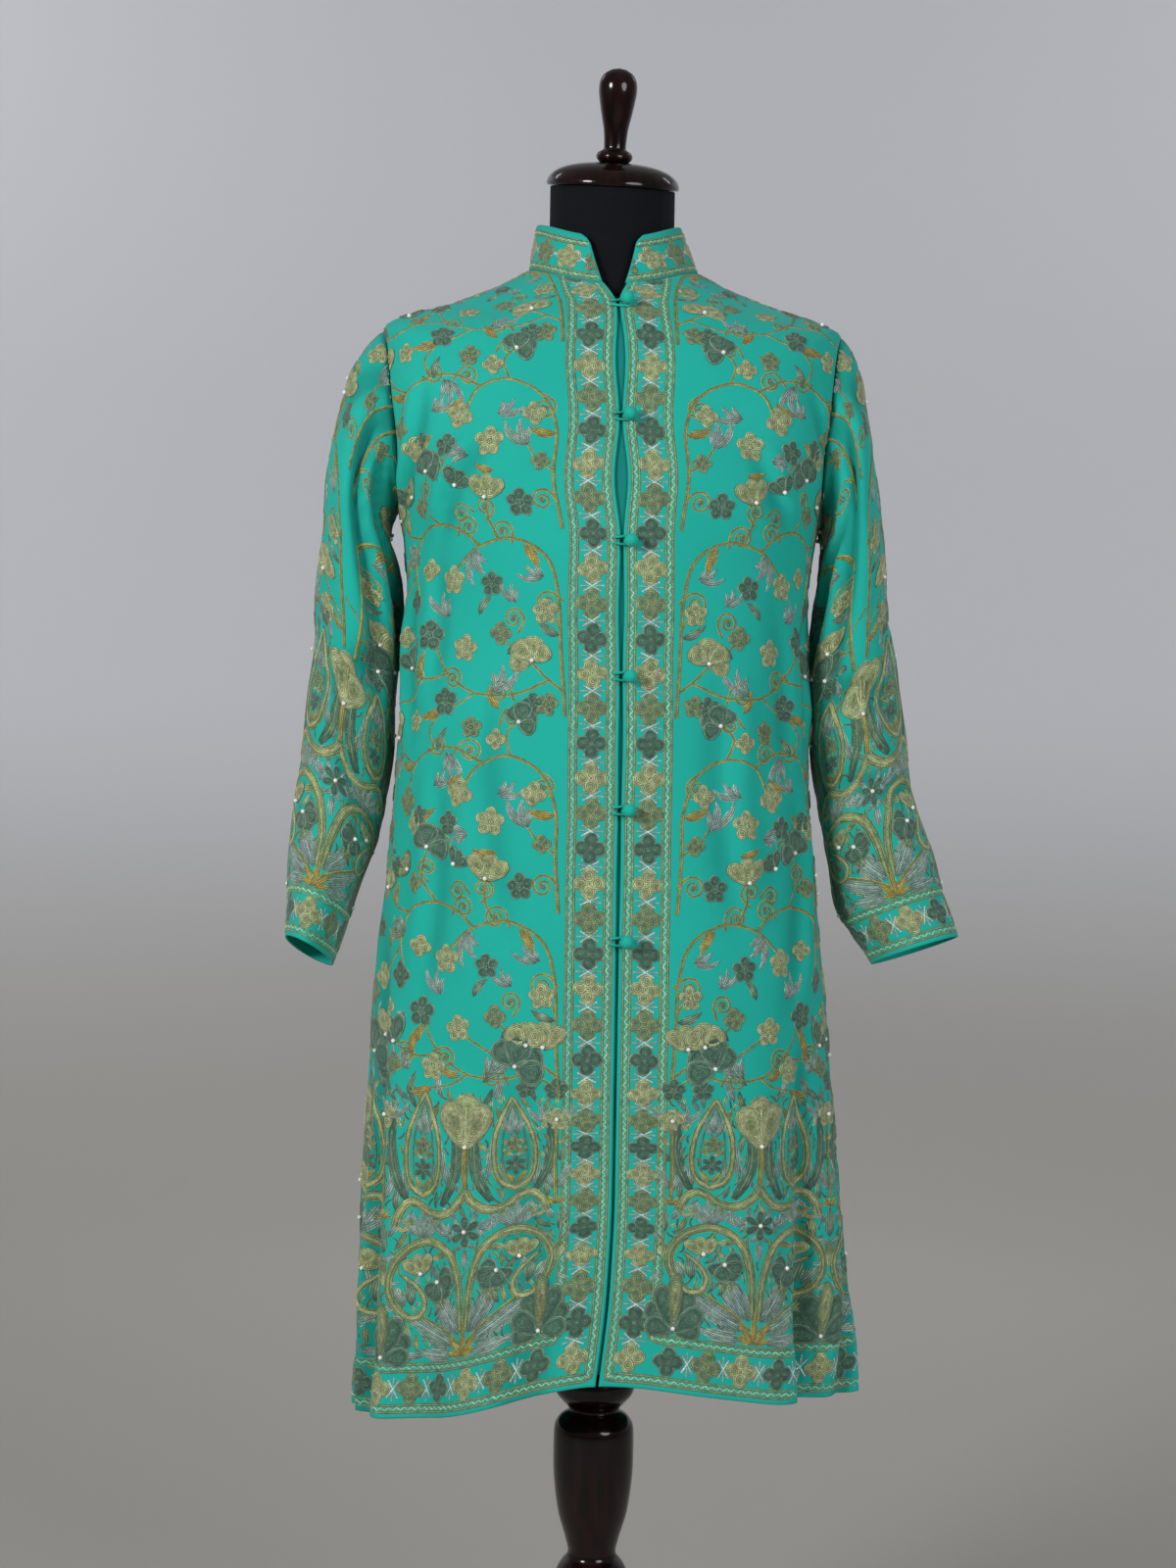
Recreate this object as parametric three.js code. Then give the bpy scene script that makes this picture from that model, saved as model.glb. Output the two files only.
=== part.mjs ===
// A long woollen jacket, buttoned down the front, worn by a limbless dress form on a turned wooden stand.
// Millimetres, +Z up, the jacket's front towards -Y. The origin is the middle of the stand's underside.
// Left and right are the wearer's, so the wearer's right lies towards -X.
import * as THREE from "three";

// Cloth and seams
const CLOTH = 2.0; // wall of the embroidered wool
const COLLAR_CLOTH = 2.4; // the collar is stiffened
const UNDERLAP_CLOTH = 1.5;
const SEAM = 0.3; // left between neighbouring pieces

// Front opening, buttons and loops
const BUTTON_HEIGHTS = [1377, 1274, 1168, 1054, 941, 831];
const BUTTON_INSET = 7.5; // from the middle of the opening to a button
const BALL_RADIUS = 5.8;
const BALL_HEIGHT = 8.0; // the ball's middle above the cloth
const SHANK_RADIUS = 1.8;
const BUTTON_LIFT = 0.5; // from the cloth to a button's foot
const LOOP_CORD = 1.1; // radius of a loop's cord
const LOOP_REACH = 14; // from a loop's roots to its button's shank
const OPENING_GAP = 1.3; // half of the gap at a button
const GAPES = [2.8, 4.2, 1.0, 0.6, 0.4]; // how far each side stands back between two buttons
const NECK_SPLIT_Z = 1381; // the front edges part above this
const NECK_SPLIT = 9; // how far each edge has parted at the neckline
const UNDERLAP_HALF = 15;
const UNDERLAP_TOP_Z = 1376;

// Collar
const COLLAR_HEIGHT = 40;
const COLLAR_LEAN = { right: 6, left: 15, front: 3, back: 2 }; // how far its top leans in
const COLLAR_END = { foot: 7.5, top: 19.5 }; // degrees from the middle of the front

// Dress form and stand
const NECK = { halfWidth: 56, front: 59, back: 51, middleX: -2, sideZ: 1497, frontZ: 1484, backZ: 1510 };
const NECK_TILT = { forward: Math.atan2(NECK.backZ - NECK.frontZ, NECK.front + NECK.back), left: 0.038 };
const FORM_BOTTOM = { level: 3, z: 708 };
const FRONT_EASE = 5; // the form stands this much further back behind the opening

// Mesh density
const FRONT_COLUMNS = 17;
const BACK_COLUMNS = 26;
const ARMHOLE_STEPS = 8;
const SLEEVE_COLUMNS = 2 * ARMHOLE_STEPS;
const FORM_COLUMNS = 30;

const RAD = Math.PI / 180;
const SIDE = 90 * RAD;

// The jacket's body, from hem to neckline. Heights at the front, the two sides and the back; half the width;
// depth in front of and behind the middle; squareness; the shoulder's fall either side of its ridge;
// the middle of the front opening; how far the dress form stands inside; and the section's middle.
const BODY_FIELDS = [
  "frontZ", "rightZ", "leftZ", "backZ", "halfWidth", "front", "back", "square", "fall", "opening", "ease",
  "middleX",
];
const BODY_ROWS = [
  [463, 415, 439, 414, 225, 150, 150, 2.15, 0, 1, 0, 8], // hem
  [542, 503, 519, 506, 221, 146, 145, 2.15, 0, 9, 0, 5],
  [625, 606, 612, 608, 215, 141, 140, 2.15, 0, 12, 0, 2],
  [708, 708, 708, 708, 207, 137, 134, 2.15, 0, 12, 30, 0],
  [800, 800, 800, 800, 199, 133, 129, 2.2, 0, 12, 14, -1.5],
  [902, 902, 902, 902, 189.5, 129, 121, 2.2, 0, 12, 12, -2.5], // hip
  [998, 998, 998, 998, 183.5, 125, 111, 2.2, 0, 12, 24, -2.5],
  [1074, 1074, 1074, 1074, 178, 124, 104, 2.25, 0, 11, 34, -2], // waist
  [1130, 1130, 1130, 1130, 178, 127, 104, 2.3, 0, 10.5, 24, 0],
  [1174, 1174, 1174, 1174, 183, 130, 107, 2.3, 0, 10, 10, 0], // bust
  [1205, 1205, 1205, 1205, 188, 129, 108, 2.35, 0, 9, 8, 0], // underarm
  [1255, 1255, 1255, 1256, 197, 122, 108, 2.4, 0, 8, 7, 0],
  [1305, 1306, 1306, 1310, 204, 110, 104, 2.35, 2, 7, 6, 0],
  [1350, 1366, 1366, 1374, 205, 97, 92, 2.1, 11, 6, 3.4, 0], // shoulder tip
  [1365, 1380, 1380, 1390, 180, 89, 82, 2.05, 10, 5, 3.1, 0],
  [1377, 1391.5, 1391.5, 1405, 143, 81, 73, 2, 7, 4, 3.1, 0],
  [1388, 1406, 1406, 1419, 105, 74, 65, 2, 3, 2.5, 3.1, 0],
  [1398, 1421, 1421, 1432, 76, 68, 58, 2, 0, 1.3, 3, 0], // neckline
];
const LEVEL = { hem: 0, waist: 7, neckline: 17 };
const HEM_SWEEP = 6.5; // how sharply the hem climbs to the middle of the front
const HEM_TO_ARM_LEVELS = [0, 0.5, 1.1, 1.9, 2.8, 3.8, 5, 6.2, 7.4, 8.6, 10];
const SHOULDER_LEVELS = [13.5, 14.3, 15.6, 17];

// Folds that hang into the hem: angle from the front and width in degrees, reach out of the wall (in where
// negative), and the level where each has faded.
const FOLDS = [
  { angle: -97, width: 12, reach: -8, top: 3.2 },
  { angle: -64, width: 11, reach: 11, top: 3.4 },
  { angle: -45, width: 9, reach: -13, top: 4.2 },
  { angle: -22, width: 14, reach: 8, top: 3.6 },
  { angle: 20, width: 14, reach: 5, top: 3.6 },
  { angle: 38, width: 8, reach: 9, top: 3.8 },
  { angle: 50, width: 7, reach: -14, top: 4.2 },
  { angle: 68, width: 11, reach: 10, top: 3.4 },
  { angle: 98, width: 12, reach: -7, top: 3.2 },
  { angle: 124, width: 13, reach: 11, top: 3.6 },
  { angle: 148, width: 11, reach: -9, top: 3.8 },
  { angle: 170, width: 13, reach: 9, top: 3.4 },
  { angle: -168, width: 12, reach: -6, top: 3.2 },
  { angle: -146, width: 13, reach: 10, top: 3.6 },
  { angle: -122, width: 11, reach: -9, top: 3.6 },
];

// The armhole, as shares of a turn round the body and as levels.
const ARMHOLE = { middle: 11.5, half: 1.5, frontWidth: 24 * RAD, backWidth: 22 * RAD };

// A sleeve's rings, from the armhole to the cuff: the outer and inner side in the front view, the middle and
// half of its depth, and how much higher the ring stands at its front.
const SLEEVE_FIELDS = ["outX", "outZ", "inX", "inZ", "middleY", "halfDepth", "tilt"];
const SLEEVE_ROWS = {
  right: [
    [205, 1366, 188, 1205, 0, 48, 0],
    [219, 1352, 190, 1202, 1, 56, 0],
    [233, 1327, 191, 1198, 2, 63, 0],
    [244, 1291, 195, 1192, 3, 69, 0],
    [253, 1240, 197, 1180, 4, 73, 0],
    [259, 1170, 190, 1152, 6, 73, 0],
    [261, 1104, 184, 1100, 8, 70, 0],
    [268, 1040, 188, 1045, 9, 65, 2],
    [273, 980, 194, 985, 8, 60, 4],
    [279, 915, 203, 915, 2, 57, 7],
    [282, 865, 222, 856, -8, 56, 10],
    [281, 820, 240, 801, -18, 54, 13],
  ],
  left: [
    [205, 1366, 188, 1205, 0, 48, 0],
    [216, 1352, 190, 1202, 1, 56, 0],
    [225, 1322, 191, 1198, 2, 63, 0],
    [232, 1282, 191.5, 1192, 3, 69, 0],
    [239, 1235, 191, 1180, 4, 74, 0],
    [247, 1170, 188, 1155, 6, 75, 0],
    [255, 1104, 183, 1097, 8, 70, 0],
    [262, 1051, 182, 1045, 9, 65, 2],
    [270, 1000, 187, 985, 8, 60, 3],
    [279, 945, 197, 928, 3, 55, 5],
    [298, 890, 208, 864, -4, 47, 6],
    [317, 832, 241, 807, -12, 41, 7],
  ],
};
const SLEEVE_STEPS = [0, 0.5, 1.1, 1.8, 2.6, 3.6, 4.6, 5.6, 6.6, 7.6, 8.5, 9.4, 10.2, 11];
const ARMHOLE_BLEND = 2.2; // rings by which a sleeve has left the armhole's outline

// Turned wood, as radius and height: the post from the base up, the cap and finial from their own foot.
const BASE_PROFILE = [
  [0, 0], [182, 0], [186, 4], [186, 17], [180, 24], [150, 29], [60, 36], [46, 38], [0, 38],
];
const POST_PROFILE = [
  [0, 38.3], [42, 38.3], [42, 46], [33, 54], [25, 70], [22, 96], [25, 150], [22, 205], [20, 222], [25, 232],
  [32, 243], [33, 254], [28, 265], [21.6, 274], [24, 287], [31, 311], [35.3, 342], [36, 367], [35.3, 388],
  [31, 396], [22.6, 403], [29, 411], [35, 419], [36, 430], [30, 441], [17, 450], [17, 707.7], [0, 707.7],
];
const CAP_PROFILE = [
  [0, 0], [59, 0], [59.6, 2.5], [58, 7], [52, 13], [42, 17.5], [28, 20.5], [14, 21.5], [0, 21.5],
];
const FINIAL_PROFILE = [
  [0, 0], [13, 0], [16.4, 4], [15, 8.5], [10.5, 11], [9.9, 14], [11, 28], [14.4, 44.5], [17, 60], [16.6, 69],
  [13, 75.5], [7, 79.5], [0, 81],
];

// Smooth interpolation through equally spaced values, without overshoot.
function curve(values) {
  const last = values.length - 1;
  const rise = (i) => values[i + 1] - values[i];
  const slope = (i) => {
    if (i === 0) return rise(0);
    if (i === last) return rise(last - 1);
    const before = rise(i - 1);
    const after = rise(i);
    return before * after <= 0 ? 0 : (2 * before * after) / (before + after);
  };
  return (place) => {
    const i = Math.min(Math.max(Math.floor(place), 0), last - 1);
    const t = place - i;
    const t2 = t * t;
    const t3 = t2 * t;
    return (
      values[i] * (2 * t3 - 3 * t2 + 1) +
      slope(i) * (t3 - 2 * t2 + t) +
      values[i + 1] * (3 * t2 - 2 * t3) +
      slope(i + 1) * (t3 - t2)
    );
  };
}

function curves(names, rows) {
  return Object.fromEntries(names.map((name, i) => [name, curve(rows.map((row) => row[i]))]));
}

const body = curves(BODY_FIELDS, BODY_ROWS);
const sleeves = {
  right: curves(SLEEVE_FIELDS, SLEEVE_ROWS.right),
  left: curves(SLEEVE_FIELDS, SLEEVE_ROWS.left),
};

// How far the hanging folds push the wall out at an angle and level.
function foldReach(angle, level) {
  let reach = 0;
  for (const fold of FOLDS) {
    if (level >= fold.top) continue;
    let away = angle / RAD - fold.angle;
    away -= 360 * Math.round(away / 360);
    const share = away / fold.width;
    reach += fold.reach * Math.exp(-share * share) * (1 - level / fold.top) ** 1.4;
  }
  return reach;
}

// A point of the jacket's outer face. The angle is 0 at the front and 90 degrees at the wearer's left.
function bodyPoint(angle, level) {
  const s = Math.sin(angle);
  const c = Math.cos(angle);
  const square = body.square(level);
  const round = (Math.abs(s) ** square + Math.abs(c) ** square) ** (-1 / square);
  const fold = foldReach(angle, level);
  const sideZ = s < 0 ? body.rightZ(level) : body.leftZ(level);
  const endZ = c > 0 ? body.frontZ(level) : body.backZ(level);
  const depth = c > 0 ? body.front(level) : body.back(level);
  const sweep = level < LEVEL.waist ? HEM_SWEEP : 2;
  return new THREE.Vector3(
    body.middleX(level) + (body.halfWidth(level) * round + fold) * s,
    -(depth * round + fold) * c,
    sideZ + (endZ - sideZ) * Math.abs(c) ** sweep - body.fall(level) * Math.sin(2 * angle) ** 2,
  );
}

// The outward normal of a surface given as point(across, along), where across turns left and along rises.
function normalOf(point, across, along, lowest, highest) {
  const step = 1e-3;
  const low = Math.max(along - step, lowest);
  const high = Math.min(along + step, highest);
  const right = point(across + step, along).sub(point(across - step, along));
  const up = point(across, high).sub(point(across, low));
  return right.cross(up).normalize();
}

function bodyNormal(angle, level) {
  return normalOf(bodyPoint, angle, level, LEVEL.hem, LEVEL.neckline);
}

// The level at which the body has a height, at an angle.
function levelAt(z, angle) {
  let low = LEVEL.hem;
  let high = LEVEL.neckline;
  for (let i = 0; i < 40; i++) {
    const middle = (low + high) / 2;
    if (bodyPoint(angle, middle).z < z) low = middle;
    else high = middle;
  }
  return (low + high) / 2;
}

// How far one front edge stands from the middle of the opening at a height.
function edgeStand(z) {
  let stand = OPENING_GAP;
  GAPES.forEach((gape, i) => {
    const share = (BUTTON_HEIGHTS[i] - z) / (BUTTON_HEIGHTS[i] - BUTTON_HEIGHTS[i + 1]);
    if (share > 0 && share < 1) stand += gape * Math.sin(Math.PI * share) ** 2;
  });
  const topZ = BODY_ROWS[LEVEL.neckline][0];
  if (z > NECK_SPLIT_Z) stand += NECK_SPLIT * ((z - NECK_SPLIT_Z) / (topZ - NECK_SPLIT_Z)) ** 1.3;
  return stand;
}

// The angle of a place on the front, given by its x.
function frontAngle(x, level) {
  return Math.asin((x - body.middleX(level)) / body.halfWidth(level));
}

// The angle of a front edge; hand is -1 for the wearer's right and 1 for the left.
function edgeAngle(level, hand) {
  const z = body.frontZ(level);
  return frontAngle(body.opening(level) + hand * edgeStand(z), level);
}

// Half of the armhole's width at a level, as an angle from the side.
function armholeAngle(level, width) {
  const share = (level - ARMHOLE.middle) / ARMHOLE.half;
  return Math.abs(share) >= 1 ? 0 : width * Math.sqrt(1 - share * share);
}

// A closed wall from two grids of points, rows of columns. A tube's last column joins its first.
function wall(outer, inner, { tube = false, flip = false } = {}) {
  const rows = outer.length;
  const columns = outer[0].length;
  const positions = [...outer.flat(), ...inner.flat()].flatMap((p) => [p.x, p.y, p.z]);
  const out = (row, column) => row * columns + (column % columns);
  const inn = (row, column) => rows * columns + out(row, column);
  const index = [];
  const quad = (a, b, c, d) => {
    if (flip) index.push(a, c, b, a, d, c);
    else index.push(a, b, c, a, c, d);
  };
  const spans = tube ? columns : columns - 1;
  for (let r = 0; r < rows - 1; r++) {
    for (let k = 0; k < spans; k++) {
      quad(out(r, k), out(r, k + 1), out(r + 1, k + 1), out(r + 1, k));
      quad(inn(r, k), inn(r + 1, k), inn(r + 1, k + 1), inn(r, k + 1));
    }
    if (!tube) {
      quad(out(r, 0), out(r + 1, 0), inn(r + 1, 0), inn(r, 0));
      quad(out(r, spans), inn(r, spans), inn(r + 1, spans), out(r + 1, spans));
    }
  }
  for (let k = 0; k < spans; k++) {
    quad(out(0, k), inn(0, k), inn(0, k + 1), out(0, k + 1));
    quad(out(rows - 1, k), out(rows - 1, k + 1), inn(rows - 1, k + 1), inn(rows - 1, k));
  }
  return new THREE.BufferGeometry()
    .setAttribute("position", new THREE.Float32BufferAttribute(positions, 3))
    .setIndex(index);
}

// A solid from rings of points, closed by a flat fan at each end.
function stackedRings(rings) {
  const columns = rings[0].length;
  const middle = (ring) => ring.reduce((sum, p) => sum.add(p), new THREE.Vector3()).divideScalar(columns);
  const positions = [...rings.flat(), middle(rings[0]), middle(rings.at(-1))].flatMap((p) => [p.x, p.y, p.z]);
  const at = (row, column) => row * columns + (column % columns);
  const foot = rings.length * columns;
  const index = [];
  for (let k = 0; k < columns; k++) {
    for (let r = 0; r < rings.length - 1; r++) {
      index.push(at(r, k), at(r, k + 1), at(r + 1, k + 1), at(r, k), at(r + 1, k + 1), at(r + 1, k));
    }
    index.push(foot, at(0, k + 1), at(0, k));
    index.push(foot + 1, at(rings.length - 1, k), at(rings.length - 1, k + 1));
  }
  return new THREE.BufferGeometry()
    .setAttribute("position", new THREE.Float32BufferAttribute(positions, 3))
    .setIndex(index);
}

const COLOURS = { wool: 0x17a98f, jersey: 0x141518, wood: 0x2a0f0c };
const finish = {
  wool: new THREE.MeshStandardMaterial({ color: COLOURS.wool, roughness: 0.85, metalness: 0 }),
  jersey: new THREE.MeshStandardMaterial({ color: COLOURS.jersey, roughness: 0.9, metalness: 0 }),
  wood: new THREE.MeshStandardMaterial({ color: COLOURS.wood, roughness: 0.25, metalness: 0 }),
};
const jacket = new THREE.Group();
const stand = new THREE.Group();

function add(group, name, geometry, material) {
  const mesh = new THREE.Mesh(geometry, material);
  mesh.name = name;
  group.add(mesh);
  return mesh;
}

const armholeLevels = Array.from(
  { length: ARMHOLE_STEPS },
  (_, i) => ARMHOLE.middle - ARMHOLE.half * Math.cos(((i + 1) * Math.PI) / ARMHOLE_STEPS),
);
const panelLevels = [...HEM_TO_ARM_LEVELS, ...armholeLevels, ...SHOULDER_LEVELS];

// A panel of the body between two angles that depend on the level.
function panel(name, columns, from, to, levels = panelLevels, depth = 0, thickness = CLOTH) {
  const outer = [];
  const inner = [];
  for (const level of levels) {
    const start = from(level);
    const end = to(level);
    const places = Array.from({ length: columns + 1 }, (_, k) => start + ((end - start) * k) / columns);
    const at = (sunk) => places.map((a) => bodyPoint(a, level).addScaledVector(bodyNormal(a, level), -sunk));
    outer.push(at(depth));
    inner.push(at(depth + thickness));
  }
  return add(jacket, name, wall(outer, inner), finish.wool);
}

// A point on a panel's own rows, which run straight from one of its levels to the next.
function panelPoint(angle, level) {
  const above = panelLevels.findIndex((v) => v > level);
  const [low, high] = [panelLevels[above - 1], panelLevels[above]];
  return bodyPoint(angle, low).lerp(bodyPoint(angle, high), (level - low) / (high - low));
}

// Half a seam's gap, as an angle at the side of the body.
const seamAngle = (level, depth) => SEAM / 2 / depth(level);

function makeFronts() {
  const side = (level) =>
    SIDE - armholeAngle(level, ARMHOLE.frontWidth) - seamAngle(level, body.front);
  panel("front_right", FRONT_COLUMNS, (v) => -side(v), (v) => edgeAngle(v, -1));
  panel("front_left", FRONT_COLUMNS, (v) => edgeAngle(v, 1), side);
}

function makeBack() {
  const side = (level) =>
    SIDE + armholeAngle(level, ARMHOLE.backWidth) + seamAngle(level, body.back);
  panel("back", BACK_COLUMNS, side, (v) => 360 * RAD - side(v));
}

// The strip behind the opening that shows between the two front edges.
function makeUnderlap() {
  const top = levelAt(UNDERLAP_TOP_Z, 0);
  const levels = [0.12, ...panelLevels.filter((v) => v > 0.2 && v < top - 0.15), top];
  const angle = (v, hand) => frontAngle(body.opening(v) + hand * UNDERLAP_HALF, v);
  panel(
    "underlap", 2, (v) => angle(v, -1), (v) => angle(v, 1), levels, CLOTH + SEAM, UNDERLAP_CLOTH,
  );
}

// A point on the armhole's edge; the turn is 0 at the shoulder tip and 90 degrees at the front.
function armholePlace(turn, hand) {
  const width = Math.sin(turn) > 0 ? ARMHOLE.frontWidth : ARMHOLE.backWidth;
  return {
    angle: hand * (SIDE - width * Math.sin(turn)),
    level: ARMHOLE.middle + ARMHOLE.half * Math.cos(turn),
  };
}

// A point of a sleeve's outer face; ring 0 is the armhole and the last ring the cuff.
function sleevePoint(rows, hand, turn, ring) {
  const c = Math.cos(turn);
  const s = Math.sin(turn);
  const oval = (place) =>
    new THREE.Vector3(
      hand * ((rows.outX(place) + rows.inX(place)) / 2 + ((rows.outX(place) - rows.inX(place)) / 2) * c),
      rows.middleY(place) - rows.halfDepth(place) * s,
      (rows.outZ(place) + rows.inZ(place)) / 2 + ((rows.outZ(place) - rows.inZ(place)) / 2) * c +
        rows.tilt(place) * s,
    );
  const point = oval(ring);
  const left = Math.max(0, 1 - ring / ARMHOLE_BLEND) ** 2;
  if (left > 0) {
    const edge = armholePlace(turn, hand);
    point.addScaledVector(bodyPoint(edge.angle, edge.level).sub(oval(0)), left);
  }
  return point;
}

function makeSleeve(name, hand, rows) {
  const outward = new THREE.Vector3(hand, 0, 0);
  const point = (turn, ring) => sleevePoint(rows, hand, turn, ring);
  const turns = Array.from({ length: SLEEVE_COLUMNS }, (_, k) => (k * Math.PI) / ARMHOLE_STEPS);
  const lastRing = SLEEVE_STEPS.at(-1);
  const outer = [];
  const inner = [];
  for (const ring of SLEEVE_STEPS) {
    const outerRow = [];
    const innerRow = [];
    for (const turn of turns) {
      const p = point(turn, ring);
      const normal = normalOf(point, turn, ring, 0, lastRing).multiplyScalar(hand);
      if (ring === 0) {
        // The first ring meets the armhole's edge side by side with it, a seam's gap away.
        const edge = armholePlace(turn, hand);
        const panelNormal = bodyNormal(edge.angle, edge.level);
        const away = outward.clone().addScaledVector(panelNormal, -outward.dot(panelNormal)).normalize();
        p.addScaledVector(away, SEAM).addScaledVector(outward, SEAM);
        normal.addScaledVector(away, -Math.max(0, normal.dot(away))).normalize();
      }
      outerRow.push(p);
      innerRow.push(p.clone().addScaledVector(normal, -CLOTH));
    }
    outer.push(outerRow);
    inner.push(innerRow);
  }
  add(jacket, name, wall(outer, inner, { tube: true, flip: hand < 0 }), finish.wool);
}

// The stand collar, open at the front.
function makeCollar() {
  const columns = 30;
  const rows = 3;
  const halfWidth = body.halfWidth(LEVEL.neckline);
  const front = body.front(LEVEL.neckline);
  const outer = [];
  const inner = [];
  const point = (angle, share) => {
    const foot = bodyPoint(angle, LEVEL.neckline);
    const c = Math.cos(angle);
    const s = Math.sin(angle);
    const leanX = s < 0 ? COLLAR_LEAN.right : COLLAR_LEAN.left;
    const leanY = c > 0 ? COLLAR_LEAN.front : COLLAR_LEAN.back;
    foot.x -= leanX * share * s;
    foot.y += leanY * share * c;
    foot.z += SEAM + COLLAR_HEIGHT * share;
    return foot;
  };
  for (let r = 0; r <= rows; r++) {
    const share = r / rows;
    const end = (COLLAR_END.foot + (COLLAR_END.top - COLLAR_END.foot) * share) * RAD;
    const angles = Array.from(
      { length: columns + 1 },
      (_, k) => end + ((360 * RAD - 2 * end) * k) / columns,
    );
    outer.push(angles.map((a) => point(a, share)));
    inner.push(
      angles.map((a) => {
        const out = new THREE.Vector3(Math.sin(a) / halfWidth, -Math.cos(a) / front, 0).normalize();
        return point(a, share).addScaledVector(out, -COLLAR_CLOTH);
      }),
    );
  }
  add(jacket, "collar", wall(outer, inner), finish.wool);
}

// A closed turned solid about Z from a profile of radius and height.
function turned(profile, segments) {
  const geometry = new THREE.LatheGeometry(profile.map(([r, z]) => new THREE.Vector2(r, z)), segments);
  return geometry.rotateX(Math.PI / 2);
}

function makeButtons() {
  const roundSteps = 5;
  const ball = Array.from({ length: roundSteps }, (_, i) => {
    const start = -Math.acos(SHANK_RADIUS / BALL_RADIUS);
    const turn = start + ((Math.PI / 2 - start) * i) / roundSteps;
    return [BALL_RADIUS * Math.cos(turn), BALL_HEIGHT + BALL_RADIUS * Math.sin(turn)];
  });
  const profile = [[0, 0], [SHANK_RADIUS, 0], ...ball, [0, BALL_HEIGHT + BALL_RADIUS]];
  BUTTON_HEIGHTS.forEach((z, i) => {
    const level = levelAt(z, 0);
    const angle = frontAngle(body.opening(level) + BUTTON_INSET, level);
    const normal = bodyNormal(angle, level);
    const frame = new THREE.Matrix4();
    const across = new THREE.Vector3(0, 0, 1).cross(normal).normalize();
    const up = normal.clone().cross(across);
    frame.makeBasis(across, up, normal);
    const foot = panelPoint(angle, level).addScaledVector(normal, BUTTON_LIFT);
    const button = add(jacket, `button_${i + 1}`, turned(profile, 8), finish.wool);
    button.quaternion.setFromRotationMatrix(frame);
    button.position.copy(foot);
    makeLoop(i + 1, foot, frame);
  });
}

// A cord loop from the wearer's right front round a button's shank, in the frame of the button.
function makeLoop(number, foot, frame) {
  const half = SHANK_RADIUS + LOOP_CORD + 0.4;
  const bendSteps = 4;
  const bend = Array.from({ length: bendSteps + 1 }, (_, i) => {
    const turn = Math.PI / 2 - (Math.PI * i) / bendSteps;
    return new THREE.Vector3(half * Math.cos(turn), half * Math.sin(turn), 0);
  });
  const path = new THREE.CatmullRomCurve3([
    new THREE.Vector3(-LOOP_REACH, half * 0.7, 0),
    new THREE.Vector3(-LOOP_REACH / 2, half, 0),
    ...bend,
    new THREE.Vector3(-LOOP_REACH / 2, -half, 0),
    new THREE.Vector3(-LOOP_REACH, -half * 0.7, 0),
  ]);
  const sides = 5;
  const section = new THREE.Shape(
    Array.from({ length: sides }, (_, k) => {
      const turn = (k * 2 * Math.PI) / sides;
      return new THREE.Vector2(LOOP_CORD * Math.cos(turn), LOOP_CORD * Math.sin(turn));
    }),
  );
  const geometry = new THREE.ExtrudeGeometry(section, { steps: 10, extrudePath: path });
  const loop = add(jacket, `loop_${number}`, geometry, finish.wool);
  const lift = new THREE.Vector3(0, 0, LOOP_CORD + 0.2).applyMatrix4(frame);
  loop.quaternion.setFromRotationMatrix(frame);
  loop.position.copy(foot).add(lift);
}

// The form: the jacket's own sections, drawn in by the ease, then the neck.
function makeForm() {
  const turns = Array.from({ length: FORM_COLUMNS }, (_, k) => (k * 2 * Math.PI) / FORM_COLUMNS);
  const levels = [];
  for (let level = FORM_BOTTOM.level; level <= LEVEL.neckline; level++) levels.push(level);
  const rings = levels.map((level) =>
    turns.map((turn) => {
      const front = Math.max(0, Math.cos(turn)) ** 4 * FRONT_EASE;
      const inset = body.ease(level) + front;
      const p = bodyPoint(turn, level).addScaledVector(bodyNormal(turn, level), -inset);
      if (level === FORM_BOTTOM.level) p.z = FORM_BOTTOM.z;
      return p;
    }),
  );
  for (const share of [0.12, 0.3, 0.6, 1]) {
    const narrow = Math.min(1, share / 0.3);
    rings.push(
      turns.map((turn, k) => {
        const c = Math.cos(turn);
        const x = NECK.halfWidth * Math.sin(turn);
        const root = rings[levels.length - 1][k];
        const topZ = NECK.sideZ + (c > 0 ? NECK.frontZ - NECK.sideZ : NECK.backZ - NECK.sideZ) * Math.abs(c);
        const depth = c > 0 ? NECK.front : NECK.back;
        const top = new THREE.Vector3(NECK.middleX + x, -depth * c, topZ - x * Math.tan(NECK_TILT.left));
        const p = root.clone().lerp(top, narrow ** 0.7);
        p.z = root.z + (top.z - root.z) * share;
        return p;
      }),
    );
  }
  add(stand, "form", stackedRings(rings), finish.jersey);
}

function makeStand() {
  add(stand, "base", turned(BASE_PROFILE, 36), finish.wood);
  add(stand, "post", turned(POST_PROFILE, 18), finish.wood);
  const headY = (NECK.back - NECK.front) / 2;
  const head = new THREE.Group();
  head.position.set(NECK.middleX, headY, (NECK.frontZ + NECK.backZ) / 2 + SEAM);
  head.rotation.set(NECK_TILT.forward, NECK_TILT.left, 0);
  stand.add(head);
  add(head, "neck_cap", turned(CAP_PROFILE, 24), finish.wood);
  const finial = add(head, "finial", turned(FINIAL_PROFILE, 16), finish.wood);
  finial.position.z = CAP_PROFILE.at(-1)[1] + SEAM;
}

makeFronts();
makeBack();
makeUnderlap();
makeSleeve("sleeve_right", -1, sleeves.right);
makeSleeve("sleeve_left", 1, sleeves.left);
makeCollar();
makeButtons();
makeForm();
makeStand();

const dressed = new THREE.Group();
dressed.add(stand, jacket);
export default dressed;
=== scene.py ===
# A long turquoise wool jacket with chain-stitch embroidery, on a black limbless dress form and a turned
# mahogany stand. Lengths are millimetres until a mesh is made, which is in metres.
# Left and right are the wearer's, so the wearer's right lies towards -X. The front faces -Y.
import math

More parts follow.
